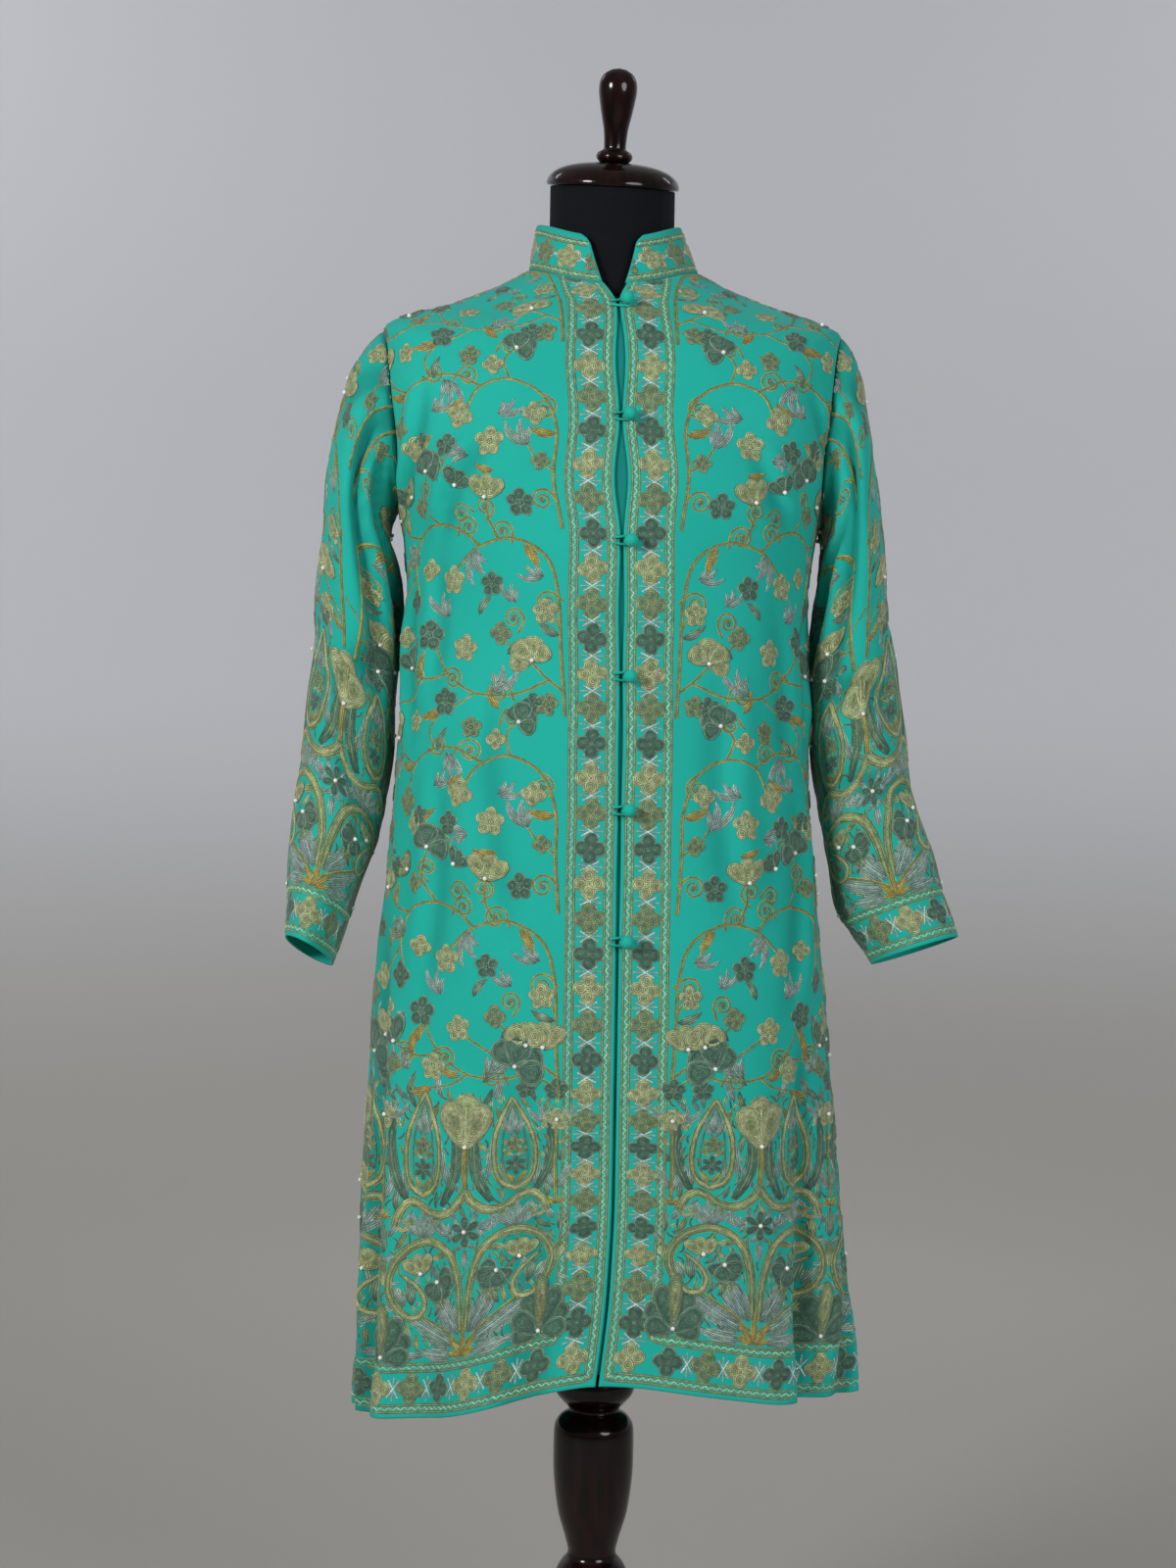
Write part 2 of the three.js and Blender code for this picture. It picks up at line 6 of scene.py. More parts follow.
import bpy
import numpy as np
from mathutils import Euler, Matrix, Vector


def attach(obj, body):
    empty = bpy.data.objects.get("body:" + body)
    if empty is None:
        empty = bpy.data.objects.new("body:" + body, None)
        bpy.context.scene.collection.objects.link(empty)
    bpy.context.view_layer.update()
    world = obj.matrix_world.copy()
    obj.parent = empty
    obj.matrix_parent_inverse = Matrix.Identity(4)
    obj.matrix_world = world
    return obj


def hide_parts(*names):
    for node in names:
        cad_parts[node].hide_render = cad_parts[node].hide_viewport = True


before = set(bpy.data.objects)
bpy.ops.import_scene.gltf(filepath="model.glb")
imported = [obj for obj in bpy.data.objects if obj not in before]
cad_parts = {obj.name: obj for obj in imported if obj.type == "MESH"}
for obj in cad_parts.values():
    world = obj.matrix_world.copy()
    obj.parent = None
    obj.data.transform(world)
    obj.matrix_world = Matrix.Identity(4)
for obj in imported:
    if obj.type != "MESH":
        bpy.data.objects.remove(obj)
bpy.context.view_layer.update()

MM = 0.001
RAD = math.pi / 180
SIDE = 90 * RAD
rng = np.random.default_rng(7)

# Camera: level, a little to the wearer's right of the middle, rolled with the photograph
CAMERA = {"x": -0.015, "y": -2.0, "z": 0.963, "lens": 51.14, "roll": 0.98}

# Cloth: thicknesses, the gap at seams, and how far apart the rows of a panel's grid are
CLOTH = 2.0
COLLAR_CLOTH = 2.4
UNDERLAP_CLOTH = 1.5
SEAM = 0.3
ROW_STEP = 6

# The jacket's body from hem to neckline, as in the model
BODY_FIELDS = [
    "frontZ", "rightZ", "leftZ", "backZ", "halfWidth", "front", "back", "square", "fall", "opening", "ease",
    "middleX",
]
BODY_ROWS = [
    [463, 415, 439, 414, 225, 150, 150, 2.15, 0, 1, 0, 8],
    [542, 503, 519, 506, 221, 146, 145, 2.15, 0, 9, 0, 5],
    [625, 606, 612, 608, 215, 141, 140, 2.15, 0, 12, 0, 2],
    [708, 708, 708, 708, 207, 137, 134, 2.15, 0, 12, 30, 0],
    [800, 800, 800, 800, 199, 133, 129, 2.2, 0, 12, 14, -1.5],
    [902, 902, 902, 902, 189.5, 129, 121, 2.2, 0, 12, 12, -2.5],
    [998, 998, 998, 998, 183.5, 125, 111, 2.2, 0, 12, 24, -2.5],
    [1074, 1074, 1074, 1074, 178, 124, 104, 2.25, 0, 11, 34, -2],
    [1130, 1130, 1130, 1130, 178, 127, 104, 2.3, 0, 10.5, 24, 0],
    [1174, 1174, 1174, 1174, 183, 130, 107, 2.3, 0, 10, 10, 0],
    [1205, 1205, 1205, 1205, 188, 129, 108, 2.35, 0, 9, 8, 0],
    [1255, 1255, 1255, 1256, 197, 122, 108, 2.4, 0, 8, 7, 0],
    [1305, 1306, 1306, 1310, 204, 110, 104, 2.35, 2, 7, 6, 0],
    [1350, 1366, 1366, 1374, 205, 97, 92, 2.1, 11, 6, 3.4, 0],
    [1365, 1380, 1380, 1390, 180, 89, 82, 2.05, 10, 5, 3.1, 0],
    [1377, 1391.5, 1391.5, 1405, 143, 81, 73, 2, 7, 4, 3.1, 0],
    [1388, 1406, 1406, 1419, 105, 74, 65, 2, 3, 2.5, 3.1, 0],
    [1398, 1421, 1421, 1432, 76, 68, 58, 2, 0, 1.3, 3, 0],
]
HEM, FORM_BOTTOM, WAIST, ARMHOLE_FOOT, ARMHOLE_TOP, NECKLINE = 0, 3, 7, 10, 13, 17
HEM_SWEEP = 6.5
ARMHOLE = {"middle": 11.5, "half": 1.5, "frontWidth": 24 * RAD, "backWidth": 22 * RAD}

# Folds that hang into the hem: angle and width in degrees, reach out of the wall, and the level it fades at
FOLDS = [
    (-97, 12, -8, 3.2), (-64, 11, 11, 3.4), (-45, 9, -13, 4.2), (-22, 14, 8, 3.6), (20, 14, 5, 3.6),
    (38, 8, 9, 3.8), (50, 7, -14, 4.2), (68, 11, 10, 3.4), (98, 12, -7, 3.2), (124, 13, 11, 3.6),
    (148, 11, -9, 3.8), (170, 13, 9, 3.4), (-168, 12, -6, 3.2), (-146, 13, 10, 3.6), (-122, 11, -9, 3.6),
]

# Front opening and buttons
BUTTON_HEIGHTS = [1377, 1274, 1168, 1054, 941, 831]
BUTTON_INSET = 7.5
BALL_RADIUS = 5.8
BALL_HEIGHT = 8.0
SHANK_RADIUS = 1.8
BUTTON_LIFT = 0.5
LOOP_CORD = 1.1
LOOP_REACH = 14
OPENING_GAP = 1.3
GAPES = [2.8, 4.2, 1.0, 0.6, 0.4]
NECK_SPLIT_Z = 1381
NECK_SPLIT = 9
UNDERLAP_HALF = 15
UNDERLAP_TOP_Z = 1376

# Collar
COLLAR_HEIGHT = 40
COLLAR_LEAN = {"right": 6, "left": 15, "front": 3, "back": 2}
COLLAR_END = {"foot": 7.5, "top": 19.5}

# Sleeves, from the armhole to the cuff, as in the model
SLEEVE_FIELDS = ["outX", "outZ", "inX", "inZ", "middleY", "halfDepth", "tilt"]
SLEEVE_ROWS = {
    "right": [
        [205, 1366, 188, 1205, 0, 48, 0],
        [219, 1352, 190, 1202, 1, 56, 0],
        [233, 1327, 191, 1198, 2, 63, 0],
        [244, 1291, 195, 1192, 3, 69, 0],
        [253, 1240, 197, 1180, 4, 73, 0],
        [259, 1170, 190, 1152, 6, 73, 0],
        [261, 1104, 184, 1100, 8, 70, 0],
        [268, 1040, 188, 1045, 9, 65, 2],
        [273, 980, 194, 985, 8, 60, 4],
        [279, 915, 203, 915, 2, 57, 7],
        [282, 865, 222, 856, -8, 56, 10],
        [281, 820, 240, 801, -18, 54, 13],
    ],
    "left": [
        [205, 1366, 188, 1205, 0, 48, 0],
        [216, 1352, 190, 1202, 1, 56, 0],
        [225, 1322, 191, 1198, 2, 63, 0],
        [232, 1282, 191.5, 1192, 3, 69, 0],
        [239, 1235, 191, 1180, 4, 74, 0],
        [247, 1170, 188, 1155, 6, 75, 0],
        [255, 1104, 183, 1097, 8, 70, 0],
        [262, 1051, 182, 1045, 9, 65, 2],
        [270, 1000, 187, 985, 8, 60, 3],
        [279, 945, 197, 928, 3, 55, 5],
        [298, 890, 208, 864, -4, 47, 6],
        [317, 832, 241, 807, -12, 41, 7],
    ],
}
LAST_RING = 11
ARMHOLE_BLEND = 2.2

# Dress form and turned wood, as radius and height
NECK = {
    "halfWidth": 56, "front": 59, "back": 51, "middleX": -2, "sideZ": 1497, "frontZ": 1484, "backZ": 1510,
}
NECK_TILT = {"forward": math.atan2(26, 110), "left": 0.038}
CAP_FOOT = (-2, -4, 1497.3)
CAP_TOP = 21.8
FORM_BOTTOM_Z = 708
FRONT_EASE = 5
BASE_PROFILE = [
    [0, 0], [182, 0], [186, 4], [186, 17], [180, 24], [150, 29], [60, 36], [46, 38], [0, 38],
]
POST_PROFILE = [
    [0, 38.3], [42, 38.3], [42, 46], [33, 54], [25, 70], [22, 96], [25, 150], [22, 205], [20, 222],
    [25, 232], [32, 243], [33, 254], [28, 265], [21.6, 274], [24, 287], [31, 311], [35.3, 342],
    [36, 367], [35.3, 388], [31, 396], [22.6, 403], [29, 411], [35, 419], [36, 430], [30, 441],
    [17, 450], [17, 707.7], [0, 707.7],
]
CAP_PROFILE = [
    [0, 0], [59, 0], [59.6, 2.5], [58, 7], [52, 13], [42, 17.5], [28, 20.5], [14, 21.5], [0, 21.5],
]
FINIAL_PROFILE = [
    [0, 0], [13, 0], [16.4, 4], [15, 8.5], [10.5, 11], [9.9, 14], [11, 28], [14.4, 44.5], [17, 60],
    [16.6, 69], [13, 75.5], [7, 79.5], [0, 81],
]


# Surfaces

def hermite(a, b, slope_a, slope_b, t):
    """The cubic from a to b with the slopes given at its ends."""
    return (
        a * (2 * t**3 - 3 * t**2 + 1)
        + slope_a * (t**3 - 2 * t**2 + t)
        + b * (3 * t**2 - 2 * t**3)
        + slope_b * (t**3 - t**2)
    )


def curve(values):
    """Smooth interpolation through equally spaced values, without overshoot."""
    values = np.asarray(values, float)
    rise = np.diff(values)
    before, after = rise[:-1], rise[1:]
    same = before * after > 0
    inner = np.where(same, 2 * before * after / np.where(same, before + after, 1), 0)
    slope = np.concatenate([rise[:1], inner, rise[-1:]])

    def at(place):
        place = np.asarray(place, float)
        i = np.clip(np.floor(place).astype(int), 0, len(rise) - 1)
        return hermite(values[i], values[i + 1], slope[i], slope[i + 1], place - i)

    return at


def curves(names, rows):
    return {name: curve([row[i] for row in rows]) for i, name in enumerate(names)}


body = curves(BODY_FIELDS, BODY_ROWS)
sleeves = {hand: curves(SLEEVE_FIELDS, rows) for hand, rows in SLEEVE_ROWS.items()}


def fold_reach(angle, level):
    """How far the folds of the hem push the wall out."""
    reach = np.zeros(np.broadcast(angle, level).shape)
    for middle, width, out, top in FOLDS:
        away = np.degrees(angle) - middle
        away = away - 360 * np.round(away / 360)
        reach = reach + out * np.exp(-((away / width) ** 2)) * np.clip(1 - level / top, 0, 1) ** 1.4
    return reach


def body_point(angle, level):
    """A point of the jacket's outer face. Angle 0 is the front and 90 degrees the wearer's left."""
    s, c = np.sin(angle), np.cos(angle)
    square = body["square"](level)
    fold = fold_reach(angle, level)
    corner = (np.abs(s) ** square + np.abs(c) ** square) ** (-1 / square)
    side_z = np.where(s < 0, body["rightZ"](level), body["leftZ"](level))
    end_z = np.where(c > 0, body["frontZ"](level), body["backZ"](level))
    depth = np.where(c > 0, body["front"](level), body["back"](level))
    sweep = np.where(level < WAIST, HEM_SWEEP, 2)
    x = body["middleX"](level) + (body["halfWidth"](level) * corner + fold) * s
    y = -(depth * corner + fold) * c
    z = side_z + (end_z - side_z) * np.abs(c) ** sweep - body["fall"](level) * np.sin(2 * angle) ** 2
    return np.stack(np.broadcast_arrays(x, y, z), axis=-1)


def normal_of(point, across, along, lowest, highest):
    step = 1e-3
    right = point(across + step, along) - point(across - step, along)
    up = point(across, np.minimum(along + step, highest)) - point(across, np.maximum(along - step, lowest))
    normal = np.cross(right, up)
    return normal / np.linalg.norm(normal, axis=-1, keepdims=True)


def body_normal(angle, level):
    return normal_of(body_point, angle, level, HEM, NECKLINE)


def level_at(z, angle):
    levels = np.linspace(HEM, NECKLINE, 2000)
    return float(np.interp(z, body_point(angle, levels)[:, 2], levels))


def edge_stand(z):
    """How far one front edge stands from the middle of the opening."""
    stand = np.full_like(z, OPENING_GAP)
    for i, gape in enumerate(GAPES):
        share = np.clip((BUTTON_HEIGHTS[i] - z) / (BUTTON_HEIGHTS[i] - BUTTON_HEIGHTS[i + 1]), 0, 1)
        stand = stand + gape * np.sin(np.pi * share) ** 2
    top = BODY_ROWS[NECKLINE][0]
    return stand + NECK_SPLIT * np.clip((z - NECK_SPLIT_Z) / (top - NECK_SPLIT_Z), 0, 1) ** 1.3


def front_angle(x, level):
    return np.arcsin((x - body["middleX"](level)) / body["halfWidth"](level))


def edge_angle(level, hand):
    return front_angle(body["opening"](level) + hand * edge_stand(body["frontZ"](level)), level)


def armhole_angle(level, width):
    share = np.clip((level - ARMHOLE["middle"]) / ARMHOLE["half"], -1, 1)
    return width * np.sqrt(1 - share**2)


def sleeve_point(hand, turn, ring):
    """A point of a sleeve's outer face. Turn 0 is its outer side and 90 degrees its front."""
    rows = sleeves["right" if hand < 0 else "left"]
    c, s = np.cos(turn), np.sin(turn)

    def oval(place):
        out_x, in_x = rows["outX"](place), rows["inX"](place)
        out_z, in_z = rows["outZ"](place), rows["inZ"](place)
        x = hand * ((out_x + in_x) / 2 + (out_x - in_x) / 2 * c)
        y = rows["middleY"](place) - rows["halfDepth"](place) * s
        z = (out_z + in_z) / 2 + (out_z - in_z) / 2 * c + rows["tilt"](place) * s
        return np.stack(np.broadcast_arrays(x, y, z), axis=-1)

    width = np.where(s > 0, ARMHOLE["frontWidth"], ARMHOLE["backWidth"])
    edge = body_point(hand * (SIDE - width * s), ARMHOLE["middle"] + ARMHOLE["half"] * c)
    left = np.maximum(0, 1 - ring / ARMHOLE_BLEND) ** 2
    return oval(ring) + (edge - oval(np.zeros_like(ring))) * np.asarray(left)[..., None]


def collar_point(angle, share):
    """A point of the collar's outer face, at a share of its height."""
    foot = body_point(angle, np.full_like(angle, NECKLINE))
    s, c = np.sin(angle), np.cos(angle)
    foot[..., 0] -= np.where(s < 0, COLLAR_LEAN["right"], COLLAR_LEAN["left"]) * share * s
    foot[..., 1] += np.where(c > 0, COLLAR_LEAN["front"], COLLAR_LEAN["back"]) * share * c
    foot[..., 2] += SEAM + COLLAR_HEIGHT * share
    return foot


# Meshes

def new_mesh(name, points, faces, material, uv=None, tint=None):
    """Makes an object from points in millimetres and a list of face arrays, all with smooth shading."""
    mesh = bpy.data.meshes.new(name)
    sizes = np.concatenate([np.full(len(f), f.shape[1]) for f in faces])
    corners = np.concatenate([f.ravel() for f in faces])
    mesh.vertices.add(len(points))
    mesh.vertices.foreach_set("co", (np.asarray(points, float) * MM).ravel())
    mesh.loops.add(len(corners))
    mesh.loops.foreach_set("vertex_index", corners.astype(np.int32))
    mesh.polygons.add(len(sizes))
    mesh.polygons.foreach_set("loop_start", np.concatenate([[0], np.cumsum(sizes)[:-1]]).astype(np.int32))
    mesh.polygons.foreach_set("use_smooth", np.ones(len(sizes), bool))
    if uv is not None:
        layer = mesh.uv_layers.new(name="cloth")
        layer.data.foreach_set("uv", np.asarray(uv, float)[corners].ravel())
    # The tint attribute holds thread colours on stitches, and on cloth the share of painted crease shade
    if tint is not None:
        colour = mesh.color_attributes.new("tint", "FLOAT_COLOR", "POINT")
        colour.data.foreach_set("color", np.column_stack([tint, np.ones(len(tint))]).ravel())
    mesh.update(calc_edges=True)
    mesh.validate()
    piece = bpy.data.objects.new(name, mesh)
    bpy.context.scene.collection.objects.link(piece)
    mesh.materials.append(material)
    return piece


def grid_faces(rows, columns, start=0, closed=False, flip=False):
    """Quads of a grid; closed joins the last column to the first."""
    spans = columns if closed else columns - 1
    r, k = np.meshgrid(np.arange(rows - 1), np.arange(spans), indexing="ij")
    n = (k + 1) % columns
    here, beyond = r * columns, (r + 1) * columns
    quads = np.stack([here + k, here + n, beyond + n, beyond + k], axis=-1)
    quads = quads.reshape(-1, 4) + start
    return quads[:, ::-1] if flip else quads


def shell(name, outer, inner, material, uv, closed=False, flip=False, tint=None):
    """A closed wall of cloth between two grids of points."""
    rows, columns = outer.shape[:2]
    count = rows * columns
    at = np.arange(count).reshape(rows, columns)
    faces = [
        grid_faces(rows, columns, 0, closed, flip),
        grid_faces(rows, columns, count, closed, not flip),
    ]

    def rim(line, turned):
        a, b = line[:-1], line[1:]
        quads = np.stack([a, a + count, b + count, b], axis=-1)
        return quads[:, ::-1] if turned else quads

    ends = [(at[0], flip), (at[-1], not flip)]
    if closed:
        ends = [(np.append(line, line[0]), turned) for line, turned in ends]
    else:
        ends += [(at[:, 0], not flip), (at[:, -1], flip)]
    faces += [rim(line, turned) for line, turned in ends]
    points = np.concatenate([outer.reshape(-1, 3), inner.reshape(-1, 3)])
    # On cloth the tint is the painted crease shade, the same on both faces
    if tint is not None:
        tint = np.concatenate([tint.reshape(-1, 3)] * 2)
    return new_mesh(name, points, faces, material, np.concatenate([uv.reshape(-1, 2)] * 2), tint)


def grid_normals(points, closed=False, flip=False):
    """Outward normals of a grid of points."""
    across = np.roll(points, -1, 1) - np.roll(points, 1, 1)
    if not closed:
        across[:, 0] = points[:, 1] - points[:, 0]
        across[:, -1] = points[:, -1] - points[:, -2]
    up = np.gradient(points, axis=0)
    normal = np.cross(across, up) * (-1 if flip else 1)
    return normal / np.linalg.norm(normal, axis=-1, keepdims=True)


def arc_lengths(points, axis):
    """Lengths along the lines of a grid of points, from their start."""
    steps = np.linalg.norm(np.diff(points, axis=axis), axis=-1)
    start = np.zeros_like(np.take(steps, [0], axis))
    return np.concatenate([start, np.cumsum(steps, axis)], axis)


def around(radius, height, turn):
    """Rings about Z, a row for each radius and height."""
    return np.stack([radius * np.cos(turn), radius * np.sin(turn), height * np.ones_like(turn)], axis=-1)


def full_turn(count):
    return np.arange(count) * 2 * np.pi / count


def ring_solid(rings, ends, flip=False):
    """Points and faces of a closed body through rings, with a middle point for each of its two ends."""
    rows, sides = rings.shape[:2]
    count = rows * sides
    k = np.arange(sides)
    n = (k + 1) % sides
    last = count - sides
    faces = [
        grid_faces(rows, sides, 0, True),
        np.stack([n, k, np.full(sides, count)], axis=-1),
        np.stack([last + k, last + n, np.full(sides, count + 1)], axis=-1),
    ]
    if flip:
        faces = [face[:, ::-1] for face in faces]
    return np.concatenate([rings.reshape(-1, 3), ends]), faces


def turned(name, profile, segments, material, matrix=None):
    """A turned solid about Z through a profile of radius and height."""
    rings = around(profile[1:-1, :1], profile[1:-1, 1:], full_turn(segments))
    points, faces = ring_solid(rings, [[0, 0, profile[0, 1]], [0, 0, profile[-1, 1]]])
    if matrix is not None:
        points = points @ np.asarray(matrix)[:3, :3].T + np.asarray(matrix)[:3, 3]
    return new_mesh(name, points, faces, material, points[:, [0, 2]])


def rounded_corners(profile, step=2.4):
    """A turned profile sampled smoothly, at most a step apart; its first and last lines stay straight."""
    profile = np.asarray(profile, float)
    out = [profile[0], profile[1]]
    for i in range(1, len(profile) - 2):
        before, a, b, after = profile[i - 1 : i + 3]
        length = np.linalg.norm(b - a)
        slopes = []
        for slope, inside in (((b - before) / 2, i > 1), ((after - a) / 2, i < len(profile) - 3)):
            slope = slope if inside else b - a
            slopes.append(slope * min(1, length / np.linalg.norm(slope)))
        for t in np.linspace(0, 1, max(3, int(length / step) + 1))[1:]:
            out.append(hermite(a, b, *slopes, t))
    out.append(profile[-1])
    return np.array(out)


# Materials

ROW_WIDTH = 1.8  # of chain stitch
STITCH = 2.7  # length of one link
TWILL = 1.3  # from rib to rib
KNIT = {"rib": 1.2, "course": 0.9}
WALL_PAINTED_SHADE_TOP = 1.3  # height in metres at which the wall's painted shade ends and it is fully pale


class Nodes:
    """Adds shader nodes to a material and links them."""

    def __init__(self, name):
        self.material = bpy.data.materials.new(name)
        self.material.use_nodes = True
        self.tree = self.material.node_tree
        self.shader = self.tree.nodes["Principled BSDF"]

    def add(self, kind, inputs=(), **settings):
        node = self.tree.nodes.new(kind)
        for key, value in settings.items():
            setattr(node, key, value)
        for key, value in dict(inputs).items():
            self.put(node, key, value)
        return node

    def put(self, node, key, value):
        if isinstance(value, bpy.types.NodeSocket):
            self.tree.links.new(value, node.inputs[key])
        else:
            node.inputs[key].default_value = value

    def math(self, operation, a, b=0.0):
        return self.add("ShaderNodeMath", {0: a, 1: b}, operation=operation).outputs[0]

    def plus(self, a, b):
        return self.math("ADD", a, b)

    def times(self, a, b):
        return self.math("MULTIPLY", a, b)

    def noise(self, vector, scale, detail=3.0, stretch=(1, 1, 1)):
        mapped = self.add("ShaderNodeMapping", {"Vector": vector, "Scale": stretch}).outputs[0]
        node = self.add("ShaderNodeTexNoise", {"Vector": mapped, "Scale": scale, "Detail": detail})
        return node.outputs["Fac"]

    def remap(self, value, low, high, start=0.0, end=1.0):
        node = self.add("ShaderNodeMapRange", {0: value, 1: start, 2: end, 3: low, 4: high})
        return node.outputs[0]

    def blend(self, factor, first, second):
        """A mix of two colours."""
        node = self.add("ShaderNodeMix", {0: factor, 6: first, 7: second}, data_type="RGBA")
        return node.outputs[2]

    def scaled(self, colour, factor):
        node = self.add("ShaderNodeVectorMath", {0: colour, "Scale": factor}, operation="SCALE")
        return node.outputs[0]

    def place(self):
        return self.add("ShaderNodeTexCoord").outputs["Object"]

    def cloth_uv(self):
        """Flat coordinates in millimetres, across and up."""
        uv = self.add("ShaderNodeUVMap", uv_map="cloth").outputs[0]
        split = self.add("ShaderNodeSeparateXYZ", {0: uv})
        return split.outputs[0], split.outputs[1]

    def bump(self, height, distance, strength=1.0):
        node = self.add("ShaderNodeBump", {"Height": height, "Distance": distance, "Strength": strength})
        self.put(self.shader, "Normal", node.outputs[0])

    def finish(self, **inputs):
        for key, value in inputs.items():
            self.put(self.shader, key.replace("_", " "), value)
        return self.material


WOOL = (0.016, 0.46, 0.375, 1)
WOOL_SHADE = (0.008, 0.33, 0.27, 1)
WOOL_PAINTED_CREASE_SHADE = (0.004, 0.16, 0.135, 1)  # painted shade for the troughs of creases
# Teal ground cloth seen between stitch rows, darkened as painted shade of those gaps
GROUND_IN_PAINTED_SHADE = (0.01, 0.2, 0.16, 1)
TRIM = (0.014, 0.46, 0.36, 1)
TRIM_SHADE = (0.01, 0.36, 0.29, 1)
# The underlap's teal is the jacket's wool darkened as painted shade for the narrow gap it is seen in
UNDERLAP_PAINTED_SHADE = (0.006, 0.24, 0.203, 1)
UNDERLAP_MOTTLE_PAINTED_SHADE = (0.005, 0.165, 0.15, 1)
JERSEY_DARK = (0.002, 0.0026, 0.004, 1)
JERSEY_LIGHT = (0.006, 0.0072, 0.0105, 1)
WOOD_DARK = (0.0028, 0.001, 0.001, 1)
WOOD_LIGHT = (0.016, 0.0034, 0.0032, 1)
PEARL = (0.9, 0.89, 0.87, 1)
PEARL_SHADE = (0.72, 0.70, 0.66, 1)
WALL = (0.62, 0.625, 0.65, 1)
FLOOR = (0.38, 0.365, 0.34, 1)


def wool(name, base, shade):
    """Fine wool twill: diagonal ribs, a little fibre, slow changes of depth, and painted shade in the
    troughs of creases.
    """
    n = Nodes(name)
    across, up = n.cloth_uv()
    rib = n.math("SINE", n.times(n.plus(across, up), 2 * math.pi / TWILL))
    rib = n.remap(rib, 0.0, 1.0, -1.0, 1.0)
    fibre = n.noise(n.place(), 900.0, 2.0)
    slow = n.noise(n.place(), 9.0, 3.0)
    depth = n.plus(n.times(slow, 0.55), n.times(fibre, 0.35))
    depth = n.plus(depth, n.times(rib, 0.08))
    height = n.plus(rib, n.times(fibre, 1.5))
    n.bump(height, 0.00006, 0.7)
    # Painted shade in creases: the crease depth, kept in the tint attribute, darkens the wool up to half way
    # to the crease shade colour
    fold = n.add("ShaderNodeAttribute", attribute_name="tint", attribute_type="GEOMETRY").outputs["Fac"]
    colour = n.blend(n.times(fold, 0.5), n.blend(depth, shade, base), WOOL_PAINTED_CREASE_SHADE)
    return n.finish(
        Base_Color=colour, Roughness=0.85, Sheen_Weight=0.1, Sheen_Roughness=0.45,
        Specular_IOR_Level=0.15,
    )


def thread():
    """Chain stitch in silky thread: rows along each shape, made of small links, in the shape's own tint,
    with painted light on the crown of each row and link, painted shade at their edges, and the ground cloth
    in painted shade between rows.
    """
    n = Nodes("thread")
    along, across = n.cloth_uv()
    rows = n.math("DIVIDE", across, ROW_WIDTH)
    row = n.math("FLOOR", rows)
    in_row = n.math("ABSOLUTE", n.math("SUBTRACT", n.math("FRACT", rows), 0.5))
    ridge = n.remap(in_row, 1.0, 0.0, 0.08, 0.5)
    shift = n.plus(n.times(row, 0.37), in_row)
    chevron = n.plus(n.math("DIVIDE", along, STITCH), shift)
    stitch = n.math("ABSOLUTE", n.math("SINE", n.times(chevron, math.pi)))
    tint = n.add("ShaderNodeAttribute", attribute_name="tint", attribute_type="GEOMETRY").outputs["Color"]
    seat = n.add("ShaderNodeCombineXYZ", {0: n.math("DIVIDE", along, 9.0), 1: n.times(row, 3.1)})
    strand = n.add("ShaderNodeTexNoise", {"Vector": seat.outputs[0], "Scale": 1.0, "Detail": 1.0})
    strand = strand.outputs["Fac"]
    mottle = n.noise(n.place(), 420.0, 3.0)
    # Painted light and shade: each row is lighter on its crown and darker at its edges, and each link
    # lighter in its middle; strand and mottle are random tone of the thread
    light = n.times(n.remap(ridge, 0.42, 1.15), n.remap(stitch, 0.68, 1.12))
    light = n.times(light, n.remap(strand, 0.6, 1.5, 0.25, 0.75))
    light = n.times(light, n.remap(mottle, 0.78, 1.25, 0.3, 0.7))
    # Where the rows dip, the ground cloth shows through, in painted shade
    ground_in_painted_shade_mask = n.remap(n.times(ridge, mottle), 0.32, 0.0, 0.0, 0.3)
    colour = n.blend(ground_in_painted_shade_mask, n.scaled(tint, light), GROUND_IN_PAINTED_SHADE)
    n.bump(n.plus(ridge, n.times(stitch, 0.5)), 0.0004, 1.0)
    return n.finish(Base_Color=colour, Roughness=0.5, Sheen_Weight=0.15, Specular_IOR_Level=0.4)


def jersey():
    n = Nodes("jersey")
    across, up = n.cloth_uv()
    rib = n.math("SINE", n.times(across, 2 * math.pi / KNIT["rib"]))
    course = n.math("SINE", n.times(up, 2 * math.pi / KNIT["course"]))
    knit = n.remap(n.times(rib, course), 0.0, 1.0, -1.0, 1.0)
    lint = n.noise(n.place(), 60.0, 4.0)
    colour = n.blend(n.times(n.plus(knit, lint), 0.5), JERSEY_DARK, JERSEY_LIGHT)
    n.bump(knit, 0.0001, 0.6)
    return n.finish(Base_Color=colour, Roughness=0.9, Sheen_Weight=0.03, Specular_IOR_Level=0.12)


def mahogany():
    """Dark stained wood under thick lacquer; the grain runs up the turned pieces."""
    n = Nodes("mahogany")
    grain = n.noise(n.place(), 26.0, 6.0, (6, 6, 0.5))
    pores = n.noise(n.place(), 240.0, 2.0, (3, 3, 0.15))
    mix = n.times(n.remap(grain, 0.0, 1.0, 0.35, 0.7), n.remap(pores, 0.6, 1.0, 0.3, 0.6))
    colour = n.blend(mix, WOOD_DARK, WOOD_LIGHT)
    n.bump(pores, 0.00003, 0.3)
    rough = n.remap(grain, 0.16, 0.24)
    return n.finish(
        Base_Color=colour, Roughness=rough, Coat_Weight=0.45, Coat_Roughness=0.05,
        Specular_IOR_Level=0.12,
    )


def pearl():
    n = Nodes("pearl")
    colour = n.blend(n.noise(n.place(), 500.0, 2.0), PEARL_SHADE, PEARL)
    return n.finish(Base_Color=colour, Roughness=0.22, Coat_Weight=0.6, Coat_Roughness=0.1)


